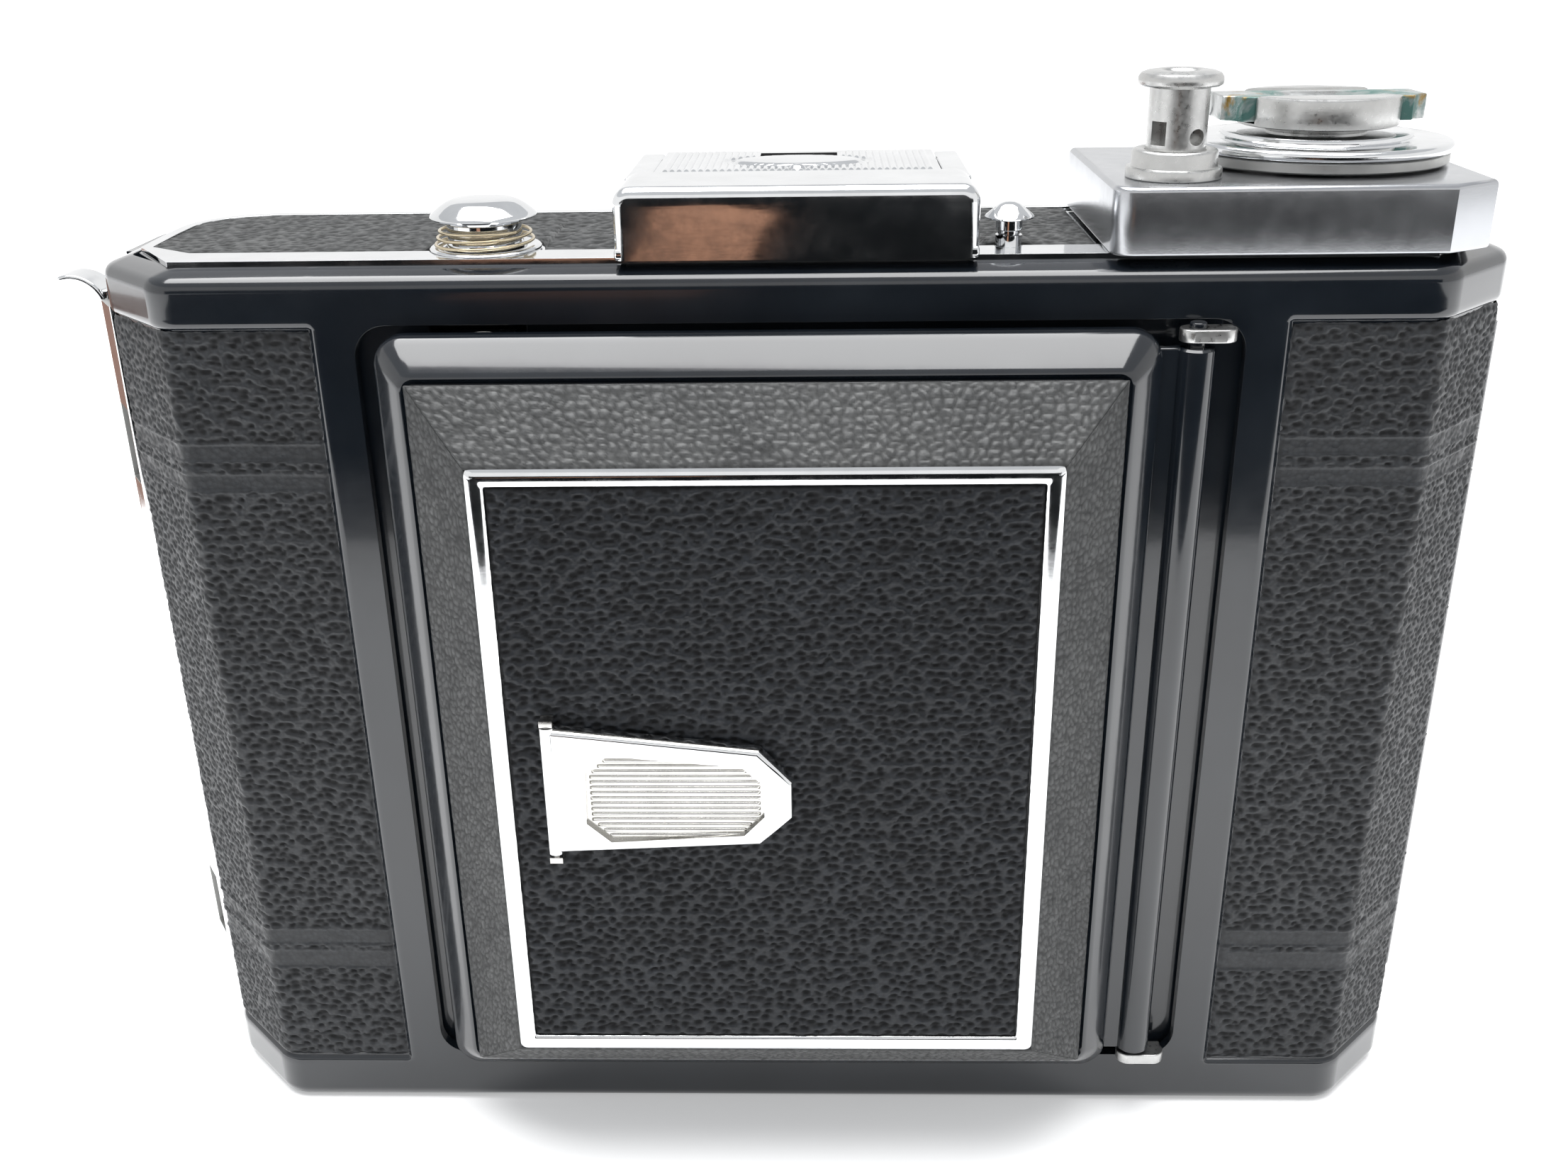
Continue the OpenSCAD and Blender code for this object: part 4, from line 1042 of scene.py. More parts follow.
def make_trim():
    """Raised frame round the panel, with a rolled outer edge."""
    prof = [  # inset from the outer edge, depth behind the front
        (0.0, 0.5), (0.0, 0.4), (0.05, 0.31), (0.2, 0.21), (0.5, 0.07), (0.66, 0.015), (0.8, 0.0),
        (1.05, 0.0), (1.25, 0.015), (1.42, 0.04), (1.58, 0.1), (1.7, 0.2), (1.75, 0.32), (1.75, 0.5)]
    w, h = DOOR_W - 2 * MARGIN + 0.4, DOOR_H - 2 * MARGIN + 0.4
    rings = []
    for d, y in prof:
        rect = round_rect(DOOR_X, DOOR_Z, w - 2 * d, h - 2 * d, max(0.7 - d * 0.3, 0.12), 5)
        rings.append([(px, TRIM_Y + y, pz) for px, pz in rect])
    o = loft("door_trim_frame", rings, closed=True)
    smooth_by_angle(o, 50)
    piece(o, "door", CHROME, "door_trim", slot="polished_chrome")


def make_foot():
    """The stand foot: a tapered plate with a sunk field of ribs, and its pivot barrel."""
    y0, y1, pivot_x, pivot_y = TRIM_Y - 0.15, TRIM_Y - 1.45, -22.7, TRIM_Y - 0.8
    outline = [(pivot_x, 53.3), (pivot_x, 40.3), (-3.6, 41.2), (-0.6, 44.1), (-0.6, 47.8), (-3.6, 51.1)]
    outer = prism("foot", outline, y0, y1, "y")
    field_pts = [(-19.4, 48.9), (-19.6, 43.6), (-17.4, 41.6), (-5.1, 42.3), (-3.2, 44.3), (-3.2, 47.6),
                 (-5.2, 49.5), (-17.4, 50.7)]
    roll_edges(outer, 0.5, lambda v: v.y < (y1 + 0.05) * MM, 4)
    boolean(outer, prism("field", field_pts, y1 + 0.5, y1 - 1, "y"))
    boolean(outer, prism("barrel", arc(pivot_x, pivot_y, 0.72, 0, 345, 23), 40.2, 53.4), "UNION")
    boolean(outer, prism("bore", arc(pivot_x, pivot_y, 0.36, 0, 345, 15), 38, 56))
    round_edges(outer, 0.22, 3)
    # ribs in the field, shorter towards its slanted corners
    parts = [outer]
    n, pitch = 15, 0.56
    prof = [(0.0, 0.0), (0.06, 0.14), (0.2, 0.2), (0.34, 0.14), (0.4, 0.0)]
    m = len(prof)
    for i in range(n):
        z = 42.15 + i * pitch
        x0, x1 = -19.2, -3.5
        if z < 43.8:
            x0, x1 = x0 + (43.8 - z) * 0.95, x1 - (44.2 - z) * 0.9
        if z > 48.2:
            x0, x1 = x0 + (z - 48.6) * 0.95 if z > 48.6 else x0, x1 - max(0, z - 47.6) * 0.95
        verts, faces = [], []
        for x, k in ((x0, 0.0), (x0 + 0.3, 1.0), (x1 - 0.3, 1.0), (x1, 0.0)):
            for dz, dy in prof:
                verts.append((x, y1 + 0.55 - dy * k - 0.02, z - 0.2 + dz))
        for a in range(3):
            for b in range(m - 1):
                faces.append((a * m + b, a * m + b + 1, (a + 1) * m + b + 1, (a + 1) * m + b))
            faces.append((a * m + m - 1, a * m, (a + 1) * m, (a + 1) * m + m - 1))
        faces += [tuple(range(m)), tuple(range(3 * m, 4 * m))]
        parts.append(link_mesh("rib", verts, faces))
    o = piece(join("foot_look", *parts), "foot", CHROME, "foot_plate", slot="polished_chrome")
    second_material(o, RIBBED, lambda c: y1 + 0.2 < c.y < y1 + 0.6 and -19.7 < c.x < -3.1)


# ---------------------------------------------------------------- bellows and spring
def make_bellows():
    """Folded bellows between the body and the lens standard."""
    rear, front = 5.4, -14.72
    folds = 8
    rings = []
    n_rings = folds * 2 + 1
    for k in range(n_rings):
        f = k / (n_rings - 1)
        y = rear + (front - rear) * f
        ridge = 31.6 + (22.6 - 31.6) * f
        valley = k % 2 == 0
        half = ridge - (3.3 if valley else 0.0)
        cut = 4.2 if valley else 1.5
        if k in (0, n_rings - 1):
            half, cut = ridge - 1.6, 2.6
        pts = []
        corners = [(half, half - cut), (half - cut, half), (-half + cut, half), (-half, half - cut),
                   (-half, -half + cut), (-half + cut, -half), (half - cut, -half), (half, -half + cut)]
        for i, (a, b) in enumerate(zip(corners, corners[1:] + corners[:1])):
            cnt = 9 if i % 2 else 2
            for j in range(cnt):
                t = j / cnt
                sag = 0.12 * math.sin(math.pi * t) * (1 if valley else -1) if i % 2 else 0
                px, pz = a[0] + (b[0] - a[0]) * t, a[1] + (b[1] - a[1]) * t
                ln = max(math.hypot(px, pz), 1e-6)
                pts.append((px * (1 - sag / ln), y + 0.06 * math.sin(5.1 * k + 2.3 * i + 1.7 * j),
                            MID_Z + pz * (1 - sag / ln)))
        rings.append(pts)
    o = loft("bellows_cloth", rings)
    thicken(o, 0.32, 0)
    smooth_by_angle(o, 30)
    piece(o, None, CLOTH, "bellows", slot="bellows_cloth")
    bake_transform(o)


def tube(name, pts, r, sides):
    pts = [Vector(p) for p in pts]
    verts, faces = [], []
    up = Vector((0, 0, 1))
    n = len(pts)
    for i, p in enumerate(pts):
        t = (pts[min(i + 1, n - 1)] - pts[max(i - 1, 0)]).normalized()
        a = t.cross(up)
        a = a.normalized() if a.length > 1e-6 else Vector((1, 0, 0))
        b = t.cross(a).normalized()
        for k in range(sides):
            g = 2 * math.pi * k / sides
            verts.append(p + a * (r * math.cos(g)) + b * (r * math.sin(g)))
    for i in range(n - 1):
        for k in range(sides):
            j = (k + 1) % sides
            faces.append((i * sides + k, i * sides + j, (i + 1) * sides + j, (i + 1) * sides + k))
    faces += [tuple(range(sides)), tuple(range((n - 1) * sides, n * sides))]
    return link_mesh(name, verts, faces)


def make_spring():
    """The coil under the door button."""
    cx, cy = DOOR_BUTTON
    pts = []
    turns = 2.6
    for i in range(int(turns * 48) + 1):
        a = 2 * math.pi * i / 48
        z = 92.86 + 1.3 * min(1, max(0, (i / 48 - 0.25) / (turns - 0.5)))
        r = 4.5 - 0.35 * (z - 92.86)
        pts.append((cx + r * math.cos(a + 2), cy + r * math.sin(a + 2), z))
    o = tube("button_coil", pts, 0.15, 10)
    smooth_by_angle(o, 60)
    piece(o, "body", SPRING, "button_spring", slot="nickel_steel")
    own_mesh(o)


# ---------------------------------------------------------------- controls on the top
def make_door_button():
    cx, cy = DOOR_BUTTON
    head = revolve("door_button_head", [
        (0, 94.75), (3.55, 94.75), (3.7, 94.85), (3.75, 95.05), (4.5, 95.15), (4.78, 95.22), (4.85, 95.35),
        (4.8, 95.5), (4.5, 95.78), (3.9, 96.25), (3.3, 96.6), (2.7, 96.8), (1.8, 96.88), (0, 96.9)],
        cx, cy, 112)
    stem = revolve("door_button_stem", [
        (0, 88.6), (3.35, 88.6), (3.5, 88.75), (3.5, 93.0), (3.4, 93.1), (3.4, 94.8), (0, 94.8)],
        cx, cy, 96)
    catch = block("catch", cx - 1.5, cx + 1.5, -15.2, -6.7, 87.6, 88.8)
    round_edges(catch, 0.2, 2)
    pin_prof = [(0, 86.95), (0.9, 86.95), (1.1, 87.1), (1.1, 87.7), (0, 87.7)]
    pin = revolve("catch_pin", pin_prof, cx, -14.0, 40)
    for o in (head, stem, pin):
        smooth_by_angle(o, 32)
    o = join("door_button_look", head, stem, catch, pin)
    piece(o, "door_button", CHROME_CLEAN, "door_button", slot="polished_chrome")
    washer = revolve("washer", [
        (3.8, 92.15), (5.0, 92.15), (5.1, 92.25), (5.1, 92.5), (4.95, 92.64), (4.6, 92.65), (4.1, 92.6),
        (3.8, 92.5)], cx, cy, 96, closed=True)
    smooth_by_angle(washer, 45)
    piece(washer, "body", CHROME, "button_washer", slot="polished_chrome")


def make_release():
    """The body release with its cable thread, side hole and slot, and the collar round it."""
    cx, cy = RELEASE
    body = revolve("release", [
        (0, 87.5), (2.9, 87.5), (3.1, 87.65), (3.1, 88.55), (2.95, 88.7), (2.6, 88.7), (2.6, 105.9),
        (2.75, 106.0), (3.35, 106.05), (3.6, 106.2), (3.65, 106.45), (3.62, 106.8), (3.4, 107.12),
        (2.9, 107.3), (2.2, 107.4), (1.7, 107.35), (1.45, 107.2), (1.3, 107.0), (1.3, 103.7),
        (0, 103.5)], cx, cy, 112)
    boolean(body, prism("side_hole", arc(cx + 1.3, 101.9, 0.7, 0, 345, 23), cy - 4, cy - 0.2, "y"))
    boolean(body, block("side_slot", cx - 2.4, cx - 1.4, cy - 4, cy, 101.2, 103.2))
    smooth_by_angle(body, 32)
    piece(body, "release", BRUSHED, "release_button", slot="nickel_steel")
    collar = revolve("collar", [
        (2.68, 98.3), (4.1, 98.3), (4.2, 98.4), (4.2, 99.1), (4.1, 99.25), (3.8, 99.3), (3.75, 99.4),
        (3.75, 100.5), (3.62, 100.72), (3.4, 100.8), (2.9, 100.8), (2.68, 100.65)], cx, cy, 96, closed=True)
    smooth_by_angle(collar, 40)
    piece(collar, "body", BRUSHED, "release_collar", slot="polished_chrome")


def make_finder_button():
    o = revolve("finder_button_look", [
        (0, 89.5), (1.1, 89.5), (1.2, 89.6), (1.2, 93.4), (1.0, 93.5), (1.0, 93.8), (1.2, 93.9),
        (1.2, 94.82), (2.05, 94.85), (2.18, 94.92), (2.2, 95.02), (2.12, 95.15), (1.7, 95.5), (1.3, 95.85),
        (0.95, 96.12), (0.5, 96.3), (0, 96.35)], *FINDER_BUTTON, 72)
    smooth_by_angle(o, 40)
    piece(o, "finder_button", CHROME_CLEAN, "finder_button", slot="polished_chrome")


def lying(o, x, y, z):
    """A shape turned about Y is laid along X at that place."""
    o.data.transform(Matrix.Translation(Vector((x, y, z)) * MM) @ Matrix.Rotation(math.radians(90), 4, "Z"))


def make_winder():
    """The winding wheel, its bright cap, the slotted knob and the folding key."""
    (cx, cy), wz = WINDER, 98.45
    wheel = revolve("wheel", [
        (3.02, wz), (11.5, wz), (11.85, wz + 0.08), (12.0, wz + 0.22), (12.0, wz + 0.6), (12.0, wz + 0.95),
        (11.85, wz + 1.1), (11.3, wz + 1.15), (3.02, wz + 1.15)], cx, cy, 160, closed=True)
    smooth_by_angle(wheel, 40)
    piece(wheel, "winder", DULL, "wind_wheel", slot="dull_ring")
    z = wz + 1.15
    cap = revolve("cap", [
        (3.02, z), (11.9, z), (12.2, z + 0.06), (12.25, z + 0.16), (12.25, z + 0.55), (12.18, z + 0.72),
        (11.98, z + 0.84), (11.6, z + 0.9), (9.1, z + 0.9), (8.72, z + 0.94), (8.6, z + 1.06),
        (8.6, z + 1.3), (8.5, z + 1.44), (8.25, z + 1.5), (3.02, z + 1.5)], cx, cy, 160, closed=True)
    smooth_by_angle(cap, 40)
    piece(cap, "winder", CHROME, "wind_cap", slot="polished_chrome")
    z = wz
    knob = revolve("knob", [
        (0, z + 2.65), (4.6, z + 2.65), (4.6, z + 3.2), (7.0, z + 3.2), (7.22, z + 3.28), (7.3, z + 3.5),
        (7.3, z + 4.4), (7.3, z + 5.6), (7.2, z + 5.82), (6.95, z + 5.93), (6.6, z + 5.95), (0, z + 5.95)],
        cx, cy, 144)
    boolean(knob, block("slot", cx - 10, cx + 10, cy - 3.1, cy + 4.3, z + 3.5, z + 9))
    bevel_sharp(knob, 0.12, 2, 60)
    smooth_by_angle(knob, 34)
    piece(knob, "winder", BRUSHED, "wind_knob", slot="satin_chrome")
    # folded key: two wings with pressed finger hollows and a rolled pivot edge
    y1, kz = cy + 2.9, wz + 3.65
    key = block("key", cx - 9.3, cx + 9.4, y1 - 5.8, y1, kz, kz + 2.2)
    for s in (-1, 1):
        hole(key, (cx + s * 9.9, y1 - 6.4), 2.2, kz - 1, kz + 4, 35)
    dish_prof = [(0, kz + 1.7), (1.6, kz + 1.85), (2.9, kz + 2.25), (2.9, kz + 4), (0, kz + 4)]
    dish = revolve("dish", dish_prof, 0, 0, 48)
    dish.data.transform(Matrix.Diagonal((2.2, 0.72, 1, 1)))
    dish.data.transform(Matrix.Translation((cx * MM, (y1 - 3.1) * MM, 0)))
    boolean(key, dish)
    roll_prof = [(0, -9.3), (1.0, -9.3), (1.1, -9.2), (1.1, 9.3), (1.0, 9.4), (0, 9.4)]
    roll = turned_y("roll", roll_prof, 0, 0, 40)
    lying(roll, cx, y1, kz + 1.1)
    round_edges(key, 0.25, 3)
    smooth_by_angle(roll, 40)
    piece(join("key_look", key, roll), "key", WORN, "wind_key", slot="verdigris_chrome")


def housing_plan(d):
    """The winder housing's outline, set in by d."""
    return ([(56.3 - d * 0.7, -16.5 + d), (60.7 - d, -13.7 + d * 0.3)] + arc(54.7, 4.5, 6 - d, 0, 90, 10)
            + [(27.4 + d, 10.5 - d)] + arc(29.4, -14.5, 2 - min(d, 1.9), 180, 270, 10))


def make_housing():
    top = BODY_H + 5.9
    o = prism("housing", housing_plan(0), BODY_H, top)
    boolean(o, prism("inside", housing_plan(1.0), BODY_H - 1, top - 1))
    hole(o, RELEASE, 2.66, 92, 110)
    hole(o, WINDER, 3.26, 92, 110)
    # the top edge is rounded more than the others
    roll_edges(o, 0.55, lambda v: abs(v.z - top * MM) < 1e-7, 5)
    roll_edges(o, 0.3, lambda v: abs(v.z - BODY_H * MM) < 1e-6, 3)
    smooth_by_angle(o, 28)
    piece(o, "body", HOUSING, "wind_housing", slot="satin_chrome")


FINDER_TOP = BODY_H + 6.3


def make_finder():
    """The finder's body: a hollow front block with round shoulders, a plate, two rails and a tail."""
    half, front_y, r = 16.0, -16.0, 1.6
    shoulder = [(-half, BODY_H - 2), (half, BODY_H - 2)]
    shoulder += arc(half - r, FINDER_TOP - r, r, 0, 90, 8) + arc(-half + r, FINDER_TOP - r, r, 90, 180, 8)
    front = prism("finder_front", shoulder, front_y, -5.8, "y")
    round_edges(front, 0.95, 5)
    boolean(front, block("under", -20, 20, -20, 0, BODY_H - 4, BODY_H + 0.01))
    hollow = block("hollow", -half + 0.8, half - 0.8, front_y + 0.8, -6.6, BODY_H - 1, FINDER_TOP - 0.9)
    boolean(front, hollow)
    base = block("finder_plate", -half, half, front_y + 0.05, 10.5, BODY_H + 0.01, BODY_H + 1.0)
    rails = []
    for s in (-1, 1):
        x0, x1 = sorted((s * 13.6, s * half))
        rails.append(block("rail", x0, x1, -6.3, 10.5, BODY_H + 0.2, BODY_H + 5.7))
    tail = block("tail", -half, half, 10.0, 10.5, BODY_H + 0.2, BODY_H + 4.2)
    smooth_by_angle(front, 40)
    for o in [base, tail] + rails:
        round_edges(o, 0.3, 3)
    o = join("finder_base_look", front, base, tail, *rails)
    piece(o, "body", CHROME, "finder_base", slot="polished_chrome")
    second_material(o, BLACK, lambda c: abs(c.x) < 13.65 and -6.5 < c.y < 10.1 and c.z < BODY_H + 5.4)


def make_finder_lid():
    """Fluted lid with an oval boss, a rivet and an eyepiece window, and the roll of its hinge."""
    lw, y0, y1 = 26.6, -5.6, 9.3
    n_rib = 40
    nu, nv = n_rib * 7 + 1, 61
    u = np.linspace(-lw / 2, lw / 2, nu)
    v = np.linspace(y0, y1, nv)
    U, V = np.meshgrid(u, v, indexing="ij")
    flute = np.abs(np.sin(np.pi * (U + lw / 2) / lw * n_rib)) ** 0.7 * 0.22
    field = smooth(V, y0 + 0.5, y0 + 0.9) * (1 - smooth(V, y1 - 1.5, y1 - 1.1)) \
        * smooth(lw / 2 - np.abs(U), 0.5, 0.9)
    oval = np.hypot(U / 6.46, (V - 1.2) / 3.4)
    boss = 1 - smooth(oval, 0.86, 1.0)
    border = 1 - smooth(np.hypot(U / 6.9, (V - 1.2) / 3.75), 0.98, 1.06)
    rivet = np.clip(1 - (np.hypot(U, V + 3.4) / 0.85) ** 2, 0, 1) ** 0.5
    near = 1 - smooth(np.hypot(U, V + 3.4), 0.9, 1.3)
    pane = 1 - smooth(np.maximum(np.abs(U) - 3.8, np.abs(V - 6.2) - 1.6), 0.25, 0.5)
    h = 0.06 + flute * field * (1 - border) * (1 - near) * (1 - pane)
    dome = 0.42 - 0.10 * np.clip(oval, 0, 1) ** 2
    h = np.where(boss > 0, h * (1 - boss) + dome * boss, h)
    h = np.maximum(h, 0.55 * rivet)
    h = h * (1 - 0.9 * pane) + 0.05 * pane
    P, N = np.zeros((nu, nv, 3)), np.zeros((nu, nv, 3))
    P[..., 0], P[..., 1], P[..., 2] = U, V, FINDER_TOP - 0.36
    N[..., 2] = 1
    lid = relief("lid_plate", P, N, h, 0.9)
    boolean(lid, block("pane_hole", -3.8, 3.8, 4.6, 7.8, 90, 105))
    roll_prof = [(0, -13.3), (0.62, -13.3), (0.7, -13.2), (0.7, 13.2), (0.62, 13.3), (0, 13.3)]
    roll = turned_y("lid_roll", roll_prof, 0, 0, 32)
    lying(roll, 0, y1, FINDER_TOP - 1.0)
    smooth_by_angle(lid, 50)
    smooth_by_angle(roll, 40)
    o = piece(join("finder_lid_look", lid, roll), "finder_lid", CHROME, "finder_lid", slot="satin_chrome")
    second_material(o, BLACK, lambda c: abs(c.x) < 3.82 and 4.58 < c.y < 7.82 or c.z < FINDER_TOP - 1.1)


def make_latch():
    """Sprung strip down the left side: a bowed band with two staple windows and a curled finger tab."""
    z0, z1 = 3.5, 86.4
    section = [(-65.72, -5.05), (-66.6, -5.2), (-69.0, -1.6), (-69.1, 0.6), (-67.0, 3.6)]
    p = np.array(round_path(section, [0.5, 1.2, 1.0], 6))
    s = np.concatenate([[0], np.cumsum(np.hypot(*(p[1:] - p[:-1]).T))])
    n = 40
    t = np.linspace(0, s[-1], n)
    X, Y = np.interp(t, s, p[:, 0]), np.interp(t, s, p[:, 1])
    windows = [(zc - 3.9, zc + 3.9) for zc in (17.0, 72.0)]
    levels = sorted([z0, z1] + [z for pair in windows for z in pair])
    verts = [(X[i], Y[i], z) for z in levels for i in range(n)]
    faces = []
    for j in range(len(levels) - 1):
        open_here = any(lo - 0.01 < levels[j] < hi - 0.01 for lo, hi in windows)
        for i in range(n - 1):
            if not (open_here and -4.6 < (Y[i] + Y[i + 1]) / 2 < -1.9 and X[i] < -66):
                faces.append((j * n + i, j * n + i + 1, (j + 1) * n + i + 1, (j + 1) * n + i))
    strip = link_mesh("strip", verts, faces)
    for mat in (CHROME, DULL):
        strip.data.materials.append(mat)
    outward = sum(f.normal.x * f.area for f in strip.data.polygons) < 0
    thicken(strip, 0.72, -1 if outward else 1, rim_material=1)
    smooth_by_angle(strip, 30)
    bevel_sharp(strip, 0.22, 3, 60)
    strip.data.shade_smooth()
    hinge = revolve("latch_barrel", [
        (0.37, z0), (0.72, z0), (0.8, z0 + 0.1), (0.8, z1 - 0.1), (0.72, z1), (0.37, z1)],
        -66.7, 3.7, 40, closed=True)
    smooth_by_angle(hinge, 40)
    cx, cz = -71.65, z1 - 1.0
    curl = prism("curl", arc(cx, cz, 3.4, 10, 112, 16) + arc(cx, cz, 2.85, 112, 10, 16), -1.9, 1.7, "y")
    neck = block("neck", -68.95, -68.05, -1.8, 1.6, z1 - 1.2, z1 + 0.9)
    round_edges(curl, 0.2, 3)
    round_edges(neck, 0.2, 2)
    o = join("latch_look", strip, hinge, curl, neck)
    rim = [f.material_index for f in o.data.polygons]
    piece(o, "latch", CHROME, "latch_bar", slot="polished_chrome")
    o.data.materials.append(DULL)
    o.data.polygons.foreach_set("material_index", rim)


# ---------------------------------------------------------------- lens and shutter
def about_lens(o, angle):
    """A shape at the origin is turned about Y and set on the lens axis."""
    o.data.transform(Matrix.Translation((0, 0, MID_Z * MM)) @ Matrix.Rotation(angle, 4, "Y"))


def make_lens():
    """Shutter case, ribbed focusing ring and speed ring."""
    case = turned_y("case", [
        (10.05, -16.0), (17.5, -16.0), (17.8, -16.3), (17.8, -20.2), (17.6, -20.6), (17.3, -20.8),
        (10.05, -20.8)], 0, MID_Z, 144, closed=True)
    smooth_by_angle(case, 35)
    piece(case, "standard", BLACK, "shutter_case", slot="matt_black")
    ribs = 60

    def knurl(r, y, a):
        if r > 11.2 and -24.0 < y < -21.4:
            return -0.22 * (0.5 + 0.5 * math.cos(ribs * a)) ** 0.5
        return 0.0
    ring = turned_y("ring", [
        (7.55, -18.9), (9.7, -18.9), (9.7, -20.85), (11.3, -20.85), (11.6, -21.1), (11.6, -21.35),
        (11.6, -21.6), (11.6, -23.9), (11.4, -24.3), (11.0, -24.4), (10.65, -24.35), (10.5, -23.85),
        (8.6, -23.6), (7.9, -23.2), (7.55, -22.8)], 0, MID_Z, ribs * 5, knurl, closed=True)
    smooth_by_angle(ring, 40)
    piece(ring, "focus", SATIN, "focus_ring", slot="satin_chrome")
    plate = turned_y("speed", [
        (11.95, -20.86), (17.1, -20.86), (17.2, -20.96), (17.2, -21.25), (17.05, -21.35), (12.1, -21.35),
        (11.95, -21.25)], 0, MID_Z, 144, closed=True)
    # generic tick marks round the ring
    for i in range(9):
        a = math.radians(30 + i * 15)
        tick = block("tick", -0.16, 0.16, -21.6, -21.24, 14.2, 16.6 if i % 2 == 0 else 15.6)
        about_lens(tick, a - math.pi / 2)
        boolean(plate, tick)
    smooth_by_angle(plate, 35)
    piece(plate, "speed", SATIN, "speed_ring", slot="satin_chrome")


def blade_disc():
    """Five overlapping shutter blades."""
    parts = []
    for k in range(5):
        pts = arc(0, 0, 9.6, -10, 74, 14) + arc(2.2, 2.2, 2.9, 110, 10, 6)
        b = prism("blade", pts, -18.2 + 0.06 * k, -18.13 + 0.06 * k + 0.1, "y")
        about_lens(b, math.radians(72 * k))
        parts.append(b)
    rim_prof = [(8.6, -18.2), (9.75, -18.2), (9.75, -17.75), (8.6, -17.75)]
    rim = turned_y("blade_rim", rim_prof, 0, MID_Z, 96, closed=True)
    smooth_by_angle(rim, 40)
    piece(join("blades", rim, *parts), "standard", STEEL, "shutter_blades", slot="nickel_steel")


make_shell()
for side in (-1, 1):
    side_leather(side)
make_top_leather()
make_bottom_leather()
make_back_leather()
make_door()
make_door_leather()
make_panel()
make_trim()
make_foot()
make_bellows()
make_spring()
make_door_button()
make_release()
make_finder_button()
make_winder()
make_housing()
make_finder()
make_finder_lid()
make_latch()
make_lens()
blade_disc()

SOFTENED = (  # node, body, material, edge round in mm, slot
    ("chamber_frame", "body", BLACK, 0.15, "matt_black"),
    ("film_rollers", "body", STEEL, 0.15, "nickel_steel"),
    ("spool_pins", "body", STEEL, 0.2, "nickel_steel"),
    ("top_plate", "body", CHROME, 0.1, "polished_chrome"),
    ("tripod_bush", "body", CHROME, 0.25, "polished_chrome"),
    ("door_hinge_pin", "body", ENAMEL, 0.15, "nickel_steel"),
    ("hinge_links", "body", BRUSHED, 0.3, "polished_chrome"),
    ("latch_keepers", "body", CHROME, 0.15, "polished_chrome"),
    ("door_tongue", "door", STEEL, 0.15, "nickel_steel"),
    ("foot_pin", "door", STEEL, 0.1, "nickel_steel"),
    ("standard_plate", "standard", SATIN, 0.2, "satin_chrome"),
    ("rear_cell", "standard", BLACK, 0.2, "matt_black"),
    ("aperture_lever", "aperture", STEEL, 0.12, "nickel_steel"),
    ("cocking_lever", "cocking", STEEL, 0.2, "nickel_steel"),
    ("shutter_trigger", "trigger", STEEL, 0.2, "nickel_steel"),
    ("standard_struts", "struts", STEEL, 0.18, "nickel_steel"),
    ("door_links", "links", STEEL, 0.18, "nickel_steel"),
    ("pressure_plate", "pressure", BLACK, 0.2, "matt_black"),
    ("plate_springs", "back", STEEL, 0.1, "nickel_steel"),
    ("window_slider", "slider", SATIN, 0.15, "satin_chrome"),
    ("back_hinge_pin", "body", ENAMEL, 0.15, "enamel"),
    ("wind_shaft", "winder", STEEL, 0.12, "nickel_steel"),
    ("take_up_spool", "winder", SPOOL, 0.15, "spool_wood"),
    ("finder_frame", "finder_frame", SATIN, 0.15, "satin_chrome"),
)
for node, body, mat, width, slot in SOFTENED:
    softened(node, body, mat, width, slot)

back = copy_of("back_cover")
roll_edges(back, 1.3, lambda v: abs(v.z - BODY_H * MM) < 2e-6 or abs(v.z) < 2e-6, 5)
round_edges(back, 0.3, 2)
# its top rim is lowered to the front shell's rounded rim
RIM_FOOT = 90 * MM
for v in back.data.vertices:
    if v.co.z > RIM_FOOT:
        v.co.z = RIM_FOOT + (v.co.z - RIM_FOOT) * 0.68
piece(back, "back", ENAMEL, "back_cover", slot="enamel")

# the clear pieces keep the CAD's shape and only change material
CLEAR = {"lens_rear": GLASS, "lens_front": GLASS, "red_window": RED, "eyepiece_glass": GLASS_EYE}
for node, mat in CLEAR.items():
    me = nodes[node].data
    for k in range(len(me.materials)):
        me.materials[k] = mat

# ---------------------------------------------------------------- stage, light and camera
scene = bpy.context.scene
scene.view_settings.view_transform = "Standard"


def rectangle(name, w, h, z=0):
    corners = [(-w / 2, -h / 2, z), (w / 2, -h / 2, z), (w / 2, h / 2, z), (-w / 2, h / 2, z)]
    return link_mesh(name, corners, [(0, 1, 2, 3)])


def aim(o, centre, target):
    """The object is put at centre and looks at target."""
    d = Vector(target) - Vector(centre)
    o.matrix_world = Matrix.Translation(Vector(centre) * MM) @ d.to_track_quat("-Z", "Y").to_matrix().to_4x4()


floor = rectangle("floor", 18000, 18000, -0.05)
floor.data.materials.append(pale_floor())


def glow(name, strength, colour):
    m = bpy.data.materials.new(name)
    m.use_nodes = True
    t = m.node_tree
    t.nodes.clear()
    out = t.nodes.new("ShaderNodeOutputMaterial")
    e = t.nodes.new("ShaderNodeEmission")
    e.inputs["Color"].default_value = (*colour, 1)
    e.inputs["Strength"].default_value = strength
    t.links.new(e.outputs[0], out.inputs[0])
    return m


def card(name, centre, target, w, h, strength, colour):
    """A card that only glossy reflections see."""
    o = rectangle(name, w, h)
    aim(o, centre, target)
    o.data.materials.append(glow(name, strength, colour))
    o.visible_camera = o.visible_shadow = o.visible_diffuse = False


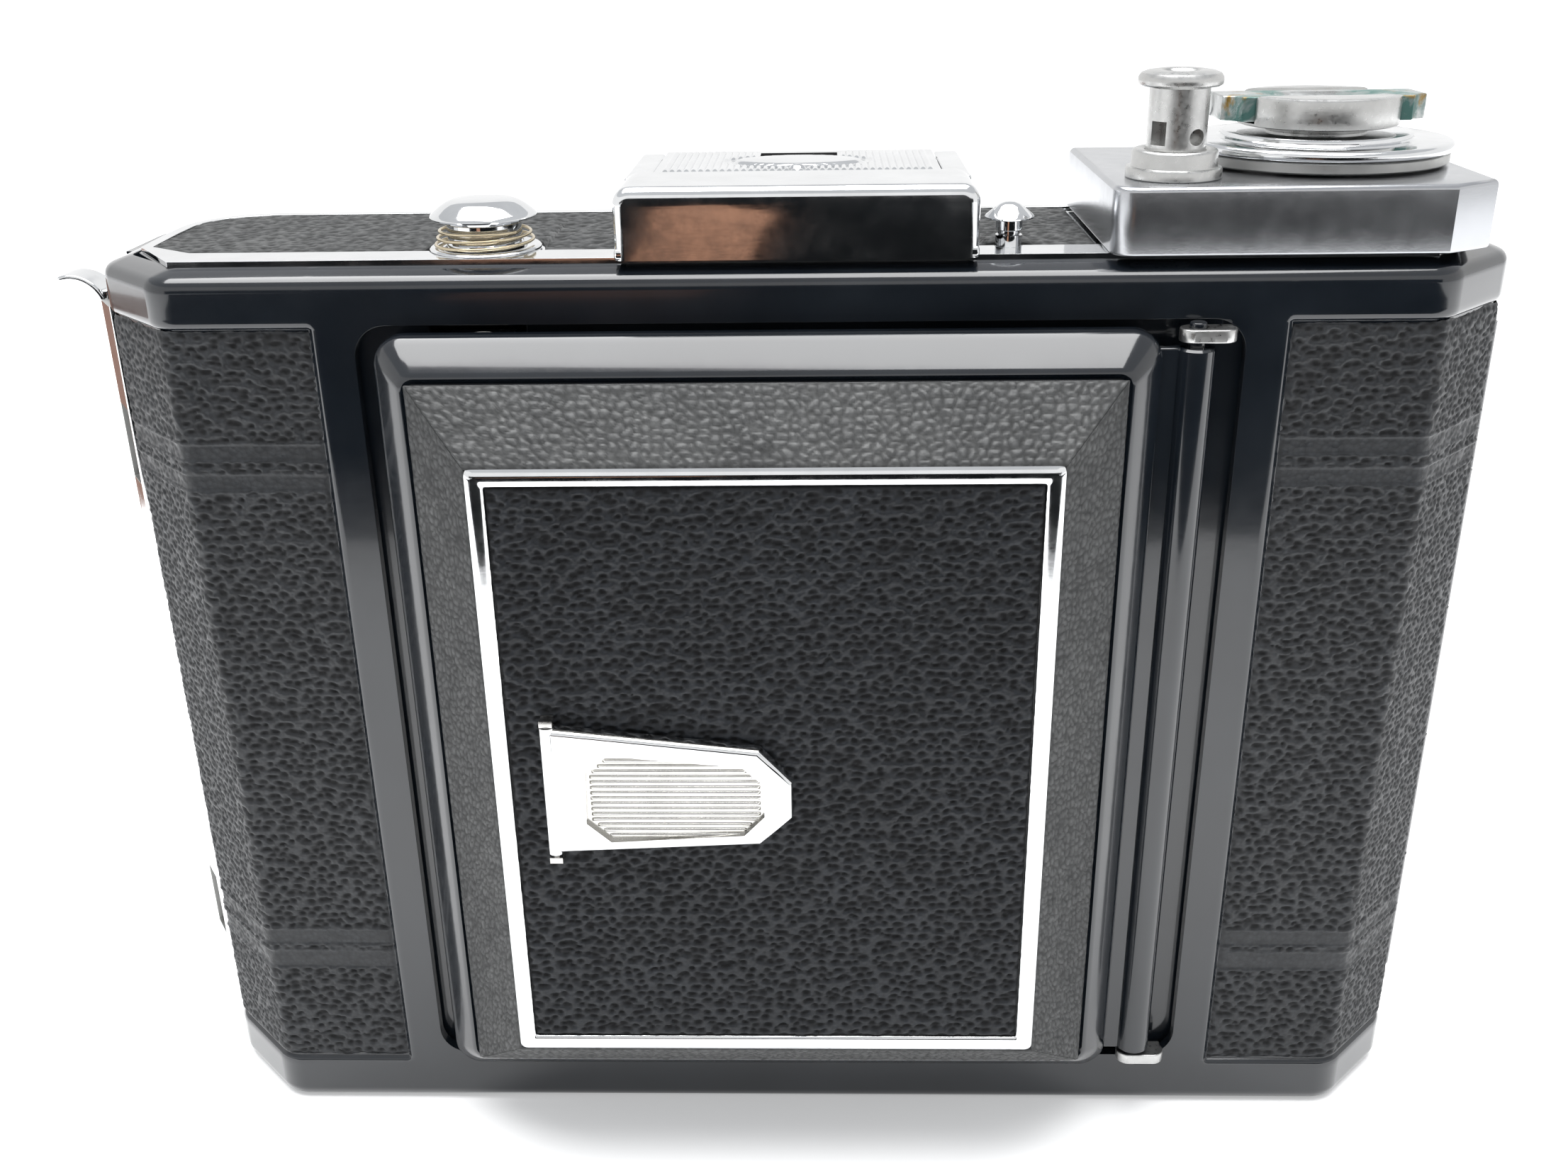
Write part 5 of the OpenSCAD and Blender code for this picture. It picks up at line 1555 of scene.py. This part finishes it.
def area(name, centre, target, w, h, power):
    d = bpy.data.lights.new(name, "AREA")
    d.shape, d.size, d.size_y, d.energy = "RECTANGLE", w * MM, h * MM, power
    o = bpy.data.objects.new(name, d)
    scene.collection.objects.link(o)
    aim(o, centre, target)


world = bpy.data.worlds.new("studio")
scene.world = world
world.use_nodes = True
bg = world.node_tree.nodes["Background"]
bg.inputs["Color"].default_value = (0.95, 0.97, 1.0, 1)
bg.inputs["Strength"].default_value = 0.7

area("top_light", (-60, 30, 1050), (-20, 20, 40), 950, 1050, 21.0)
card("dark_floor", (30, -567, 1.0), (30, -567, 200), 760, 765, 0.010, (0.8, 0.9, 1.0))
card("dark_front", (0, -950, 90), (0, 0, 90), 1500, 180, 0.014, (0.8, 0.9, 1.0))
card("warm_floor", (-95, -570, 1.4), (-95, -570, 200), 100, 230, 0.62, (0.80, 0.42, 0.27))
card("warm_side", (-330, 290, 1.4), (-330, 290, 200), 300, 300, 0.5, (0.70, 0.44, 0.36))
# a white wall round the stage, out of sight of the diffuse light
ring = [(1500 * math.cos(math.radians(a)), 1500 * math.sin(math.radians(a))) for a in range(0, 360, 5)]
wall = link_mesh("white_wall", [(x, y, z) for z in (0, 900) for x, y in ring],
                 [(i, (i + 1) % 72, 72 + (i + 1) % 72, 72 + i) for i in range(72)])
wall.data.materials.append(glow("white_wall", 1.05, (1, 1, 1)))
wall.visible_diffuse = wall.visible_shadow = False

cam_data = bpy.data.cameras.new("view")
IMAGE_W, FOCAL, SENSOR = 2212, 2158.5, 36.0     # pixels of the photo's frame, and mm
cam_data.sensor_width, cam_data.lens = SENSOR, FOCAL / IMAGE_W * SENSOR
cam_data.clip_start, cam_data.clip_end = 0.005, 50
cam = bpy.data.objects.new("view", cam_data)
scene.collection.objects.link(cam)
right, up, fwd = Vector((0.99965, 0.02249, -0.01415)), Vector((0.00413, 0.39443, 0.91892)), \
    Vector((-0.02625, 0.91865, -0.39420))
rot = Matrix((right, up, -fwd)).transposed().to_4x4()
cam.matrix_world = Matrix.Translation(Vector((2.33, -150.15, 118.76)) * MM) @ rot
scene.camera = cam

bpy.context.view_layer.update()
